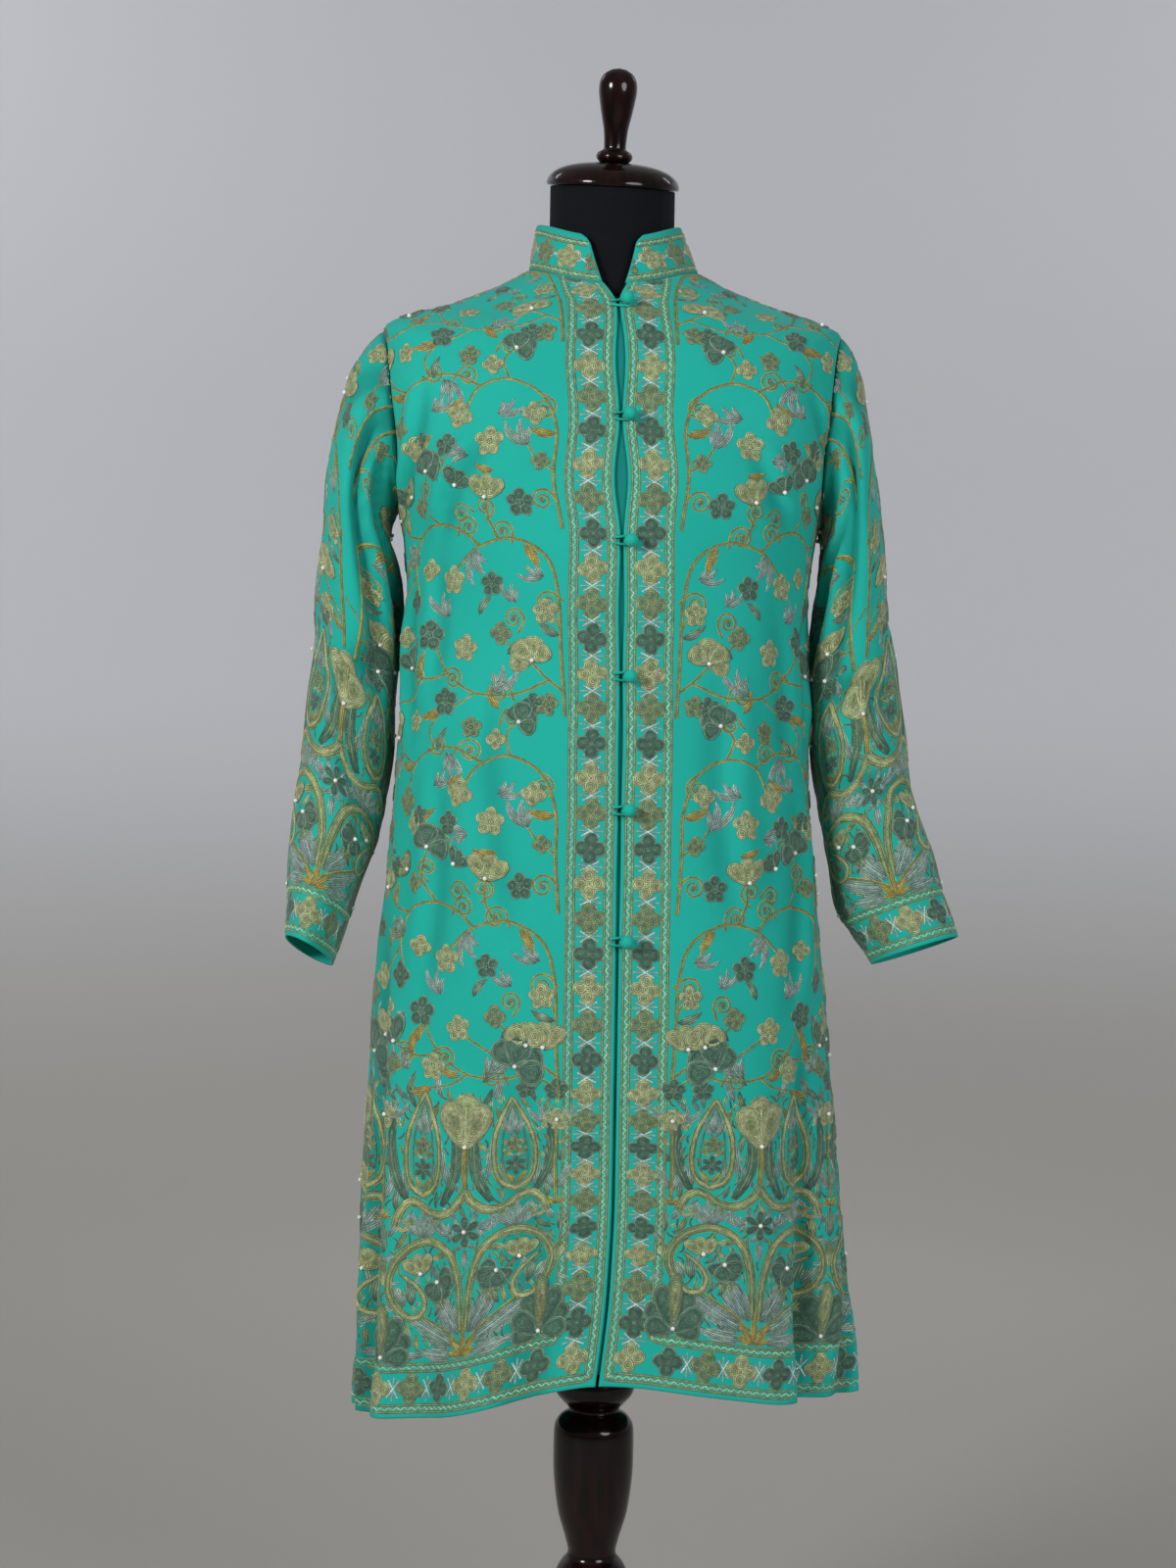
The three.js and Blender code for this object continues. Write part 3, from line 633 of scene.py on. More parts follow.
def plaster():
    """Pale wall with painted shade that darkens it towards the floor."""
    n = Nodes("plaster")
    # Painted shade: from the floor's colour at the bottom to the pale wall at the top of the shade
    height = n.add("ShaderNodeSeparateXYZ", {0: n.place()}).outputs[2]
    rise = n.remap(height, 0.0, 1.0, 0.0, WALL_PAINTED_SHADE_TOP)
    eased = n.math("SUBTRACT", 3.0, n.times(rise, 2.0))
    rise = n.times(n.times(rise, rise), eased)
    return n.finish(Base_Color=n.blend(rise, FLOOR, WALL), Roughness=0.9, Specular_IOR_Level=0.1)


MATERIALS = {
    "wool": wool("wool", WOOL, WOOL_SHADE),
    "trim": wool("trim", TRIM, TRIM_SHADE),
    # The underlap's wool is darker than the jacket's by painted shade
    "underlap": wool("underlap", UNDERLAP_PAINTED_SHADE, UNDERLAP_MOTTLE_PAINTED_SHADE),
    "thread": thread(),
    "jersey": jersey(),
    "wood": mahogany(),
    "pearl": pearl(),
    "plaster": plaster(),
}


def settle(piece, node=None):
    """Puts a piece on the part's one body, and hides the solid that it stands for."""
    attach(piece, "root")
    if node:
        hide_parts(node)


# Creases: from across and up the cloth, to across and up, half-width, depth, and how far the middle bows
CREASES = {
    "front_right": [
        (108, 846, 162, 758, 8, 1.7, 4),
        (172, 892, 214, 790, 7, 1.8, -6),
        (206, 716, 198, 590, 9, 1.5, 6),
        (166, 742, 170, 630, 9, 1.2, -5),
        (112, 620, 92, 430, 12, 1.3, 8),
        (160, 560, 172, 370, 11, 1.3, -8),
        (235, 0, 232, 420, 13, 7.0, 4),
        (262, 0, 250, 360, 10, 5.0, -4),
        (292, 0, 270, 300, 12, 5.0, 0),
        (60, 0, 90, 330, 22, 2.2, 6),
    ],
    "front_left": [
        (112, 838, 158, 770, 9, 1.3, -4),
        (176, 890, 214, 796, 7, 1.8, 6),
        (204, 706, 200, 590, 9, 1.5, -6),
        (140, 700, 152, 560, 12, 1.1, 6),
        (84, 640, 100, 440, 13, 1.2, -8),
        (168, 540, 160, 360, 11, 1.4, 8),
        (190, 0, 176, 330, 9, 6.5, 3),
        (246, 0, 232, 400, 12, 5.0, -4),
        (282, 0, 268, 300, 12, 5.0, 0),
    ],
    "back": [
        (-200, 880, -128, 800, 9, 1.7, 8),
        (-206, 760, -190, 640, 9, 1.6, -6),
        (200, 884, 130, 806, 9, 1.7, -8),
        (206, 750, 194, 630, 9, 1.6, 6),
        (-110, 640, -80, 480, 12, 1.4, 8),
        (112, 620, 84, 450, 12, 1.4, -8),
        (-8, 760, 14, 560, 14, 1.1, 8),
        (-150, 0, -140, 380, 14, 5.0, 5),
        (-62, 0, -54, 340, 15, 4.5, -4),
        (40, 0, 34, 300, 14, 4.0, 4),
        (128, 0, 118, 360, 15, 5.0, -5),
    ],
    "sleeve_right": [
        (-34, 250, 4, 560, 9, 5.0, -6),
        (-70, 330, -20, 470, 10, 3.2, 8),
        (30, 200, -40, 300, 12, 2.4, 6),
        (60, 420, 20, 520, 14, 2.0, 0),
        (-60, 120, 10, 190, 12, 2.2, -6),
        (120, 260, 60, 330, 13, 2.4, 6),
        (-150, 200, -120, 480, 13, 3.0, 8),
        (150, 150, 170, 420, 14, 2.6, -8),
    ],
    "sleeve_left": [
        (-30, 260, 2, 545, 10, 4.2, -6),
        (-74, 300, -10, 430, 10, 3.4, 8),
        (40, 180, -40, 260, 11, 2.8, -6),
        (52, 120, -30, 170, 11, 2.6, 6),
        (56, 430, 24, 530, 14, 2.0, 0),
        (120, 220, 50, 280, 13, 2.4, 6),
        (-150, 180, -124, 470, 13, 3.0, -8),
        (148, 140, 168, 430, 14, 2.6, 8),
    ],
}

CREASE_DEPTH = 2.6  # times the depth in the table
SHADED_DEPTH = 3.5  # a crease this deep gets the full painted shade of a fold
SHARP_BANK = 1.5  # height of the bank beside a crease of the body, as a share of its depth
SOFT_BANK = 0.3  # the same on sleeves and at the hem
ROOM_ABOVE_FORM = 4.2
FREE_DEPTH = 30  # the deepest crease of the cloth that hangs free of the form
WAVES = {"count": 7, "shortest": 60, "longest": 190, "height": 0.45}


def crease_depth(name, across, up):
    """Soft troughs, each with a raised bank on one side."""
    depth = np.zeros_like(across)
    for u0, v0, u1, v1, width, deep, bow in CREASES.get(name, []):
        run = np.array([u1 - u0, v1 - v0], float)
        length = np.linalg.norm(run)
        run /= length
        du, dv = across - u0, up - v0
        t = np.clip((du * run[0] + dv * run[1]) / length, 0, 1)
        bulge = bow * 4 * t * (1 - t)
        side = (du - t * length * run[0]) * -run[1] + (dv - t * length * run[1]) * run[0]
        past = (du * run[0] + dv * run[1]) - t * length
        away = np.hypot(side - bulge, past) / width
        bank = np.hypot(side - bulge - 1.7 * width, past) / width
        from_hem = v0 == 0
        raised = SOFT_BANK if from_hem or "sleeve" in name else SHARP_BANK
        fade = 1.6 * (1.05 - t) if from_hem else 3.2 * np.minimum(t + 0.08, 1.08 - t)
        trough = np.exp(-(away**2)) - raised * np.exp(-((bank / 1.2) ** 2))
        depth += deep * np.minimum(1, fade) * trough
    return depth * CREASE_DEPTH


def unevenness(across, up, seed):
    """Slow, low waves that no cloth is without."""
    waves = np.random.default_rng(seed)
    height = np.zeros_like(across)
    for _ in range(WAVES["count"]):
        period = waves.uniform(WAVES["shortest"], WAVES["longest"])
        way = waves.uniform(0, np.pi)
        start = waves.uniform(0, 2 * np.pi)
        run = across * np.cos(way) + up * np.sin(way)
        height += WAVES["height"] * np.sin(run * 2 * np.pi / period + start)
    return height


def flat_cut(points):
    """Width, length and area of a cut piece of cloth in metres, measured before it creased."""
    width = arc_lengths(points, 1)[:, -1].max() * MM
    length = arc_lengths(points, 0)[-1].max() * MM
    down, over = points[1:, 1:] - points[:-1, :-1], points[1:, :-1] - points[:-1, 1:]
    area = np.linalg.norm(np.cross(down, over), axis=-1).sum() / 2 * MM**2
    return (float(width), float(length)), float(min(area, width * length))


class Panel:
    """A piece of cloth: a grid of points with flat coordinates across and up it, in millimetres."""

    def __init__(self, name, points, across, up, seed, calm, bead, inward=False):
        """Calm holds the waves and creases down near edges; the bead swells a turned edge."""
        self.name = name
        self.inward = inward
        self.across, self.up = across, up
        normals = grid_normals(points, flip=inward)
        depth = crease_depth(name, across, up)
        if "sleeve" not in name:
            limit = np.interp(up, [250, 460], [FREE_DEPTH, ROOM_ABOVE_FORM])
            depth = np.where(depth > 0, limit * np.tanh(depth / limit), depth)
        # Share of painted crease shade that the wool's colour gets at each point
        self.fold = np.clip(depth / SHADED_DEPTH, 0, 1)
        lift = (unevenness(across, up, seed) - depth) * calm + bead
        self.cut = flat_cut(points)
        self.points = points + normals * lift[..., None]
        self.normals = grid_normals(self.points, flip=inward)

    def place(self, across, up, lift):
        """Points at flat coordinates, lifted off the cloth, and which of them are on it."""
        rows, columns = self.across.shape
        up_marks, across_marks = self.up[:, columns // 2], self.across[rows // 3]
        s, t = up.copy(), across.copy()
        for _ in range(14):
            i, j = self._cells(s, up_marks), self._cells(t, across_marks)
            (a, a_i, a_j), (b, b_i, b_j) = self._blend(self.across, i, j), self._blend(self.up, i, j)
            step_i, step_j = np.diff(up_marks)[i.astype(int)], np.diff(across_marks)[j.astype(int)]
            a_i, b_i, a_j, b_j = a_i / step_i, b_i / step_i, a_j / step_j, b_j / step_j
            turn = a_i * b_j - a_j * b_i
            turn = np.where(np.abs(turn) < 0.05, 0.05, turn)
            miss_a, miss_b = across - a, up - b
            s = s + np.clip((miss_a * b_j - miss_b * a_j) / turn, -50, 50)
            t = t + np.clip((miss_b * a_i - miss_a * b_i) / turn, -50, 50)
            s = np.clip(s, up_marks[0], up_marks[-1])
            t = np.clip(t, across_marks[0], across_marks[-1])
        i, j = self._cells(s, up_marks), self._cells(t, across_marks)
        miss_a = across - self._blend(self.across, i, j)[0]
        miss_b = up - self._blend(self.up, i, j)[0]
        inside = np.hypot(miss_a, miss_b) < 0.6
        point = self._blend(self.points, i, j)[0]
        normal = self._blend(self.normals, i, j)[0]
        normal /= np.linalg.norm(normal, axis=-1, keepdims=True)
        return point + normal * np.asarray(lift)[..., None], inside

    @staticmethod
    def _cells(value, marks):
        return np.clip(np.interp(value, marks, np.arange(len(marks))), 0, len(marks) - 1.001)

    @staticmethod
    def _blend(grid, i, j):
        """The grid's value between its points, and its slopes along rows and columns."""
        i0, j0 = i.astype(int), j.astype(int)
        s, t = i - i0, j - j0
        if grid.ndim == 3:
            s, t = s[..., None], t[..., None]
        a, b = grid[i0, j0], grid[i0, j0 + 1]
        c, d = grid[i0 + 1, j0], grid[i0 + 1, j0 + 1]
        value = (a * (1 - t) + b * t) * (1 - s) + (c * (1 - t) + d * t) * s
        return value, (c - a) * (1 - t) + (d - b) * t, (b - a) * (1 - s) + (d - c) * s

    def make(self, material, thickness, closed=False):
        """The cloth itself, as a thin shell."""
        kept = slice(None, -1 if closed else None)
        outer = self.points[:, kept]
        inner = outer - self.normals[:, kept] * thickness
        uv = np.stack([self.across, self.up], axis=-1)[:, kept]
        # The painted crease shade goes into the shell's tint attribute
        fold = np.repeat(self.fold[:, kept, None], 3, -1)
        return shell(f"{self.name}_cloth", outer, inner, material, uv, closed, self.inward, fold)


HEM_ZONE = 100  # the lowest stretch of cloth, in which heights are true
HEM_TO_FORM = 296  # the height of the form's lower edge above the hem, on the flat cloth


def body_levels(step):
    """Levels of the grid's rows, a step apart or closer, and dense where the armhole starts and ends."""
    fine = np.linspace(HEM, NECKLINE, 1500)
    length = arc_lengths(body_point(np.full_like(fine, 60 * RAD), fine), 0)
    even = np.interp(np.linspace(0, length[-1], int(length[-1] / step) + 1), length, fine)
    share = np.cos(np.arange(1, 24) * np.pi / 24)
    armhole = ARMHOLE["middle"] + ARMHOLE["half"] * share
    near_hem = np.interp([1.2, 2.6, 4.2], length, fine)
    levels = np.unique(np.concatenate([even, armhole, near_hem, [ARMHOLE_FOOT, ARMHOLE_TOP]]).round(4))
    return levels[np.append(True, np.diff(levels) > 0.004)]


def flat_heights(angles, levels):
    """Heights on the flat cloth: true near the hem, then stretched so that all columns agree at the form."""
    fine = np.linspace(HEM, NECKLINE, 500)
    lines = np.linspace(angles.min(), angles.max(), 73)
    length = arc_lengths(body_point(lines[None, :], fine[:, None]), 0)
    at_form = np.array([np.interp(FORM_BOTTOM, fine, column) for column in length.T])
    low = HEM_ZONE + (length - HEM_ZONE) * (HEM_TO_FORM - HEM_ZONE) / (at_form - HEM_ZONE)
    high = HEM_TO_FORM + length - at_form
    table = np.where(length < HEM_ZONE, length, np.where(length < at_form, low, high))
    at_levels = np.array([np.interp(levels, fine, column) for column in table.T]).T
    return np.array([np.interp(row, lines, values) for row, values in zip(angles, at_levels)])


def fractions_across(width, step, fine_start=False):
    """Even fractions across a panel, with closer ones at the start if it is a turned edge."""
    even = np.linspace(0, 1, int(width / step) + 1)
    near = np.array([1.0, 2.0, 3.2, 4.6]) / width
    return np.unique(np.concatenate([even, near])) if fine_start else even


def edge_bead(distance, middle=2.2, half=1.8, height=0.45):
    """The swell of a turned edge, at a distance from it."""
    return height * np.exp(-(((distance - middle) / half) ** 2))


def from_middle(length, fractions):
    """Lengths across each row, counted from its middle."""
    return length - np.array([np.interp(0.5, fractions, row) for row in length])[:, None]


def front_panel(hand):
    """One front, from the edge of the opening to the side seam and the armhole."""
    name = "front_left" if hand > 0 else "front_right"
    levels = body_levels(ROW_STEP)
    fractions = fractions_across(250, 4.6, True)
    start = edge_angle(levels, hand)
    seam = SEAM / 2 / body["front"](levels)
    end = hand * (SIDE - armhole_angle(levels, ARMHOLE["frontWidth"]) - seam)
    angles = start[:, None] + (end - start)[:, None] * fractions
    points = body_point(angles, levels[:, None])
    across = arc_lengths(points, 1)
    up = flat_heights(angles, levels)
    bead = edge_bead(across, 1.6, 1.5) + edge_bead(up)
    calm = np.clip(across / 40, 0.25, 1) * np.clip((1080 - up) / 120, 0, 1)
    calm = calm * np.clip((across[:, -1:] - across) / 12, 0.2, 1)
    return Panel(name, points, across, up, 11 + hand, calm, bead, hand < 0)


def back_panel():
    """The back, from side to side and up to the neckline."""
    levels = body_levels(ROW_STEP)
    fractions = fractions_across(480, 5.2)
    seam = SEAM / 2 / body["back"](levels)
    start = SIDE + armhole_angle(levels, ARMHOLE["backWidth"]) + seam
    angles = start[:, None] + (2 * np.pi - 2 * start)[:, None] * fractions
    points = body_point(angles, levels[:, None])
    across = from_middle(arc_lengths(points, 1), fractions)
    up = flat_heights(angles, levels)
    calm = np.clip((1060 - up) / 120, 0, 1) * np.clip((across[:, -1:] - np.abs(across)) / 12, 0.2, 1)
    return Panel("back", points, across, up, 23, calm, edge_bead(up))


def sleeve_panel(hand):
    """One sleeve, from the cuff up to its armhole."""
    name = "sleeve_left" if hand > 0 else "sleeve_right"
    fine = np.linspace(LAST_RING, 0, 800)
    length = arc_lengths(sleeve_point(hand, np.full_like(fine, SIDE), fine), 0)
    even = np.interp(np.linspace(0, length[-1], int(length[-1] / ROW_STEP) + 1), length, fine)
    rings = np.unique(np.concatenate([even, np.interp([1.2, 2.6, 4.2], length, fine)]).round(4))[::-1]
    turns = SIDE - np.linspace(-np.pi, np.pi, 65)
    points = sleeve_point(hand, turns[None, :], rings[:, None])
    points[-1] += sleeve_seam(hand, turns)
    length = arc_lengths(points, 1)
    middle = len(turns) // 2
    across = length - length[:, middle : middle + 1]
    rise = arc_lengths(points, 0)
    reference = rise[:, middle : middle + 1]
    share = rise[-1:] / reference[-1:]
    up = np.where(rise < 60, rise, 60 + (rise - 60) / share)
    calm = np.clip(up / 50, 0.15, 1) * np.clip((reference[-1:] - reference) / 30, 0, 1)
    return Panel(name, points, across, up, 31 + hand, calm, edge_bead(up), hand < 0)


def sleeve_seam(hand, turns):
    """Moves a sleeve's first ring clear of the armhole's edge, side by side with it."""
    width = np.where(np.sin(turns) > 0, ARMHOLE["frontWidth"], ARMHOLE["backWidth"])
    angle = hand * (SIDE - width * np.sin(turns))
    level = ARMHOLE["middle"] + ARMHOLE["half"] * np.cos(turns)
    normal = body_normal(angle, level)
    outward = np.array([hand, 0.0, 0.0])
    away = outward - normal * (normal @ outward)[:, None]
    away /= np.linalg.norm(away, axis=-1, keepdims=True)
    return SEAM * (away + outward)


def collar_panel():
    """The stand collar, open at the front, with rounded upper corners."""
    shares = np.linspace(0, 1, 15)
    ends = (COLLAR_END["foot"] + (COLLAR_END["top"] - COLLAR_END["foot"]) * shares) * RAD
    ends = ends + 5 * RAD * np.clip((shares - 0.86) / 0.14, 0, 1) ** 2
    fractions = np.linspace(0, 1, 121)
    angles = ends[:, None] + (2 * np.pi - 2 * ends)[:, None] * fractions
    points = collar_point(angles, shares[:, None] * np.ones_like(angles))
    across = from_middle(arc_lengths(points, 1), fractions)
    up = arc_lengths(points, 0)
    bead = edge_bead(COLLAR_HEIGHT - up, 1.6, 1.6, 0.5) + edge_bead(up, 1, 1.5, 0.35)
    return Panel("collar", points, across, up, 41, 0.3, bead)


def underlap_piece():
    """A plain strip behind the opening, fixed along one front and seen in its gap."""
    top = level_at(UNDERLAP_TOP_Z, 0)
    levels = np.linspace(0.12, top, 170)
    opening = body["opening"](levels)
    start = front_angle(opening - UNDERLAP_HALF, levels)
    end = front_angle(opening + UNDERLAP_HALF, levels)
    angles = start[:, None] + (end - start)[:, None] * np.linspace(0, 1, 9)
    normals = body_normal(angles, levels[:, None])
    outer = body_point(angles, levels[:, None]) - normals * (CLOTH + SEAM)
    uv = np.stack([arc_lengths(outer, 1), arc_lengths(outer, 0)], axis=-1)
    piece = shell("underlap_cloth", outer, outer - normals * UNDERLAP_CLOTH, MATERIALS["underlap"], uv)
    return piece, outer


# Buttons and loops

def button_frame(height):
    """Foot of a button on the wearer's left front, with its directions across, up and out."""
    level = level_at(height, 0)
    angle = front_angle(body["opening"](level) + BUTTON_INSET, level)
    place = np.array(angle), np.array(level)
    point, out = body_point(*place), body_normal(*place)
    across = np.cross([0, 0, 1], out)
    across /= np.linalg.norm(across)
    return point + out * BUTTON_LIFT, np.stack([across, np.cross(out, across), out])


def tube(name, path, radius, material, sides=10, twist=0.0, dent=0.0):
    """A round cord along a path, with its ends closed; dent gives it twisted plies."""
    path = np.asarray(path, float)
    along = np.gradient(path, axis=0)
    along /= np.linalg.norm(along, axis=-1, keepdims=True)
    length = arc_lengths(path, 0)
    side = np.cross(along, [0.0, 0.35, 1.0])
    side /= np.linalg.norm(side, axis=-1, keepdims=True)
    other = np.cross(along, side)
    turn = full_turn(sides)
    plies = 1 + dent * np.cos(2 * (turn[None, :] - length[:, None] * twist))
    ring = radius * plies[..., None] * (
        np.cos(turn)[None, :, None] * side[:, None] + np.sin(turn)[None, :, None] * other[:, None]
    )
    points, faces = ring_solid(path[:, None] + ring, path[[0, -1]])
    across = np.append(np.tile(turn, len(path)), [0, 0]) * radius
    uv = np.column_stack([np.append(np.repeat(length, sides), [0, length[-1]]), across])
    return new_mesh(name, points, faces, material, uv)


def ball_piece(number, foot, axes):
    """A cloth ball on its shank, with the gathers of its cover."""
    turn = full_turn(40)
    fall = np.linspace(0, np.pi, 25)[1:-1, None]
    gather = 1 + 0.02 * np.cos(9 * turn) * np.sin(fall) ** 2
    ball = around(BALL_RADIUS * gather * np.sin(fall), BALL_HEIGHT + BALL_RADIUS * np.cos(fall), turn)
    heights = np.linspace(0, BALL_HEIGHT - BALL_RADIUS * 0.95, 4)[:, None]
    shank = around(np.full_like(heights, SHANK_RADIUS), heights, turn)
    local = np.concatenate([shank, ball[::-1]])
    points, faces = ring_solid(local, [[0, 0, 0], [0, 0, BALL_HEIGHT + BALL_RADIUS]])
    uv = np.concatenate([local.reshape(-1, 3)[:, :2] * 1.4, [[0, 0], [0, 0]]])
    piece = new_mesh(f"ball_{number}", foot + points @ axes, faces, MATERIALS["trim"], uv)
    settle(piece, f"button_{number}")


def loop_piece(number, foot, axes):
    """A twisted cord that runs round the button's shank, with both its ends sewn to the other front."""
    half = SHANK_RADIUS + LOOP_CORD + 0.4
    bend = np.linspace(90, -90, 17) * RAD
    flat = np.concatenate([
        np.linspace([-LOOP_REACH, 0.7 * half], [-LOOP_REACH / 2, half], 8)[:-1],
        np.linspace([-LOOP_REACH / 2, half], [0, half], 8)[:-1],
        np.column_stack([np.cos(bend), np.sin(bend)]) * half,
        np.linspace([0, -half], [-LOOP_REACH / 2, -half], 8)[1:],
        np.linspace([-LOOP_REACH / 2, -half], [-LOOP_REACH, -0.7 * half], 8)[1:],
    ])
    local = np.column_stack([flat, np.full(len(flat), LOOP_CORD + 0.2)])
    path = foot + local @ axes
    piece = tube(f"cord_{number}", path, LOOP_CORD, MATERIALS["trim"], 12, 1.6, 0.12)
    settle(piece, f"loop_{number}")


def button_pieces():
    for number, height in enumerate(BUTTON_HEIGHTS, 1):
        foot, axes = button_frame(height)
        ball_piece(number, foot, axes)
        loop_piece(number, foot, axes)


# Dress form and stand

def form_piece():
    """The limbless body under the jacket, covered in jersey, with its neck up to the cap."""
    angles = np.linspace(0, 2 * np.pi, 97)[:-1]
    rings = []
    for level in np.linspace(FORM_BOTTOM, NECKLINE, 85):
        ease = body["ease"](level) + FRONT_EASE * np.maximum(0, np.cos(angles)) ** 4
        ring = body_point(angles, level) - body_normal(angles, np.full_like(angles, level)) * ease[:, None]
        if level == FORM_BOTTOM:
            ring[:, 2] = FORM_BOTTOM_Z
        rings.append(ring)
    s, c = np.sin(angles), np.cos(angles)
    x = NECK["middleX"] + NECK["halfWidth"] * s
    y = -np.where(c > 0, NECK["front"], NECK["back"]) * c
    end_z = np.where(c > 0, NECK["frontZ"], NECK["backZ"])
    z = NECK["sideZ"] + (end_z - NECK["sideZ"]) * np.abs(c) - x * math.tan(NECK_TILT["left"])
    top = np.column_stack([x, y, z])
    foot = rings[-1]
    for share in np.linspace(0, 1, 22)[1:]:
        pull = min(1, share / 0.3) ** 0.7
        rings.append(foot + (top - foot) * np.array([pull, pull, share]))
    rings = np.array(rings)
    across = np.tile(arc_lengths(rings, 1)[len(rings) // 2], (len(rings), 1))
    uv = np.stack([across, arc_lengths(rings, 0)], axis=-1).reshape(-1, 2)
    points, faces = ring_solid(rings, [rings[0].mean(0), rings[-1].mean(0)])
    piece = new_mesh("form_jersey", points, faces, MATERIALS["jersey"], np.append(uv, [[0, 0], [0, 0]], 0))
    settle(piece, "form")


def stand_pieces():
    tilt = Euler((NECK_TILT["forward"], NECK_TILT["left"], 0)).to_matrix().to_4x4()
    head = Matrix.Translation(CAP_FOOT) @ tilt
    on_head = head @ Matrix.Translation((0, 0, CAP_TOP))
    for name, profile, segments, node, matrix in (
        ("stand_base", BASE_PROFILE, 112, "base", None),
        ("stand_post", POST_PROFILE, 72, "post", None),
        ("neck_cap_wood", CAP_PROFILE, 96, "neck_cap", head),
        ("finial_wood", FINIAL_PROFILE, 72, "finial", on_head),
    ):
        piece = turned(name, rounded_corners(profile), segments, MATERIALS["wood"], matrix)
        settle(piece, node)


# Room

def stage_room():
    """A seamless plaster floor and wall in one sweep around the stand."""
    bend = np.linspace(-90, 0, 13)[1:] * RAD
    fillet, wall = 2.2, 5.2
    profile = [[0.0, 0.0], [0.6, 0.0], [wall - fillet, 0.0]]
    profile += [[wall - fillet + fillet * np.cos(a), fillet + fillet * np.sin(a)] for a in bend]
    profile += [[wall, 3.4], [wall, 4.6]]
    profile = np.array(profile)
    turn = full_turn(96)
    points = around(profile[1:, :1], profile[1:, 1:], turn).reshape(-1, 3) / MM
    k = np.arange(len(turn))
    fan = np.stack([k, (k + 1) % len(turn), np.full(len(turn), len(points))], axis=-1)
    points = np.concatenate([points, [[0, 0, 0]]]) - [0, 0, 0.2]
    faces = [grid_faces(len(profile) - 1, len(turn), 0, True, True), fan]
    new_mesh("room", points, faces, MATERIALS["plaster"])


# Lights: name, place, target, size, power, colour, and whether shiny surfaces mirror it
LIGHTS = [
    ("key", (-1.7, -1.8, 1.7), (0, 0, 1.15), 0.7, 45, (1.0, 0.985, 0.96), True),
    ("fill", (1.5, -2.1, 1.5), (0, 0, 1.1), 1.3, 32, (0.95, 0.98, 1.0), True),
    ("behind", (0.6, 3.0, 2.4), (0, 0, 0.9), 1.2, 16, (1.0, 1.0, 1.0), False),
    ("wall_left", (-2.6, 1.9, 3.9), (-1.6, 5.0, 1.8), 1.6, 58, (0.97, 0.98, 1.0), True),
    ("wall_right", (2.6, 1.9, 3.9), (1.6, 5.0, 1.8), 1.6, 40, (0.97, 0.98, 1.0), True),
]


def area_light(name, place, target, size, power, colour, mirrored):
    data = bpy.data.lights.new(name, "AREA")
    data.shape = "DISK"
    data.size = size
    data.energy = power
    data.color = colour
    light = bpy.data.objects.new(name, data)
    light.location = place
    light.rotation_euler = (Vector(target) - Vector(place)).to_track_quat("-Z", "Y").to_euler()
    light.visible_glossy = mirrored
    bpy.context.scene.collection.objects.link(light)


def make_camera():
    data = bpy.data.cameras.new("camera")
    data.sensor_width = 36
    data.lens = CAMERA["lens"]
    camera = bpy.data.objects.new("camera", data)
    camera.location = (CAMERA["x"], CAMERA["y"], CAMERA["z"])
    level = Euler((SIDE, 0, 0)).to_matrix()
    roll = Euler((0, 0, CAMERA["roll"] * RAD)).to_matrix()
    camera.rotation_euler = (level @ roll).to_euler()
    bpy.context.scene.collection.objects.link(camera)
    bpy.context.scene.camera = camera


def light_room():
    for row in LIGHTS:
        area_light(*row)
    world = bpy.data.worlds.new("air")
    world.use_nodes = True
    air = world.node_tree.nodes["Background"]
    air.inputs[0].default_value = (0.93, 0.96, 1.0, 1)
    air.inputs[1].default_value = 0.2
    bpy.context.scene.world = world
    bpy.context.scene.view_settings.view_transform = "Standard"


# Stitches

KHAKI = (0.37, 0.40, 0.17)
KHAKI_SHADE = (0.20, 0.25, 0.105)
KHAKI_EDGE = (0.55, 0.56, 0.29)
DARK = (0.08, 0.175, 0.115)
DARK_SHADE = (0.042, 0.10, 0.065)
DARK_EDGE = (0.19, 0.31, 0.21)
MOSS = (0.14, 0.22, 0.11)
OLIVE = (0.17, 0.23, 0.085)
BORDER_EDGE = (0.17, 0.27, 0.13)
BORDER_WAVE = (0.37, 0.52, 0.28)
OCHRE = (0.35, 0.27, 0.05)
OCHRE_SHADE = (0.26, 0.19, 0.045)
VINE = (0.29, 0.26, 0.06)
VINE_SHADE = (0.13, 0.18, 0.055)
GREY = (0.25, 0.35, 0.30)
GREY_SHADE = (0.13, 0.21, 0.18)
FROST = (0.40, 0.52, 0.50)

FLOWER_TINTS = {
    "khaki": [OLIVE, KHAKI_EDGE, KHAKI_SHADE, KHAKI, KHAKI_SHADE],
    "dark": [DARK_EDGE, DARK_SHADE, DARK, DARK],
    "mixed": [MOSS, KHAKI_SHADE, KHAKI, DARK],
    "grey": [GREY, GREY_SHADE, GREY, GREY],
    "ochre": [OCHRE, OCHRE_SHADE, OCHRE, OCHRE],
}
# Bright and deep tints of the small leaves that fill bare cloth
FILL_TINTS = [
    (KHAKI, OLIVE), (DARK, DARK_SHADE), (GREY_SHADE, DARK), (KHAKI_SHADE, MOSS), (MOSS, DARK_SHADE),
]
PEARL_RADIUS = 1.9
PEARL_LIFT = 1.7


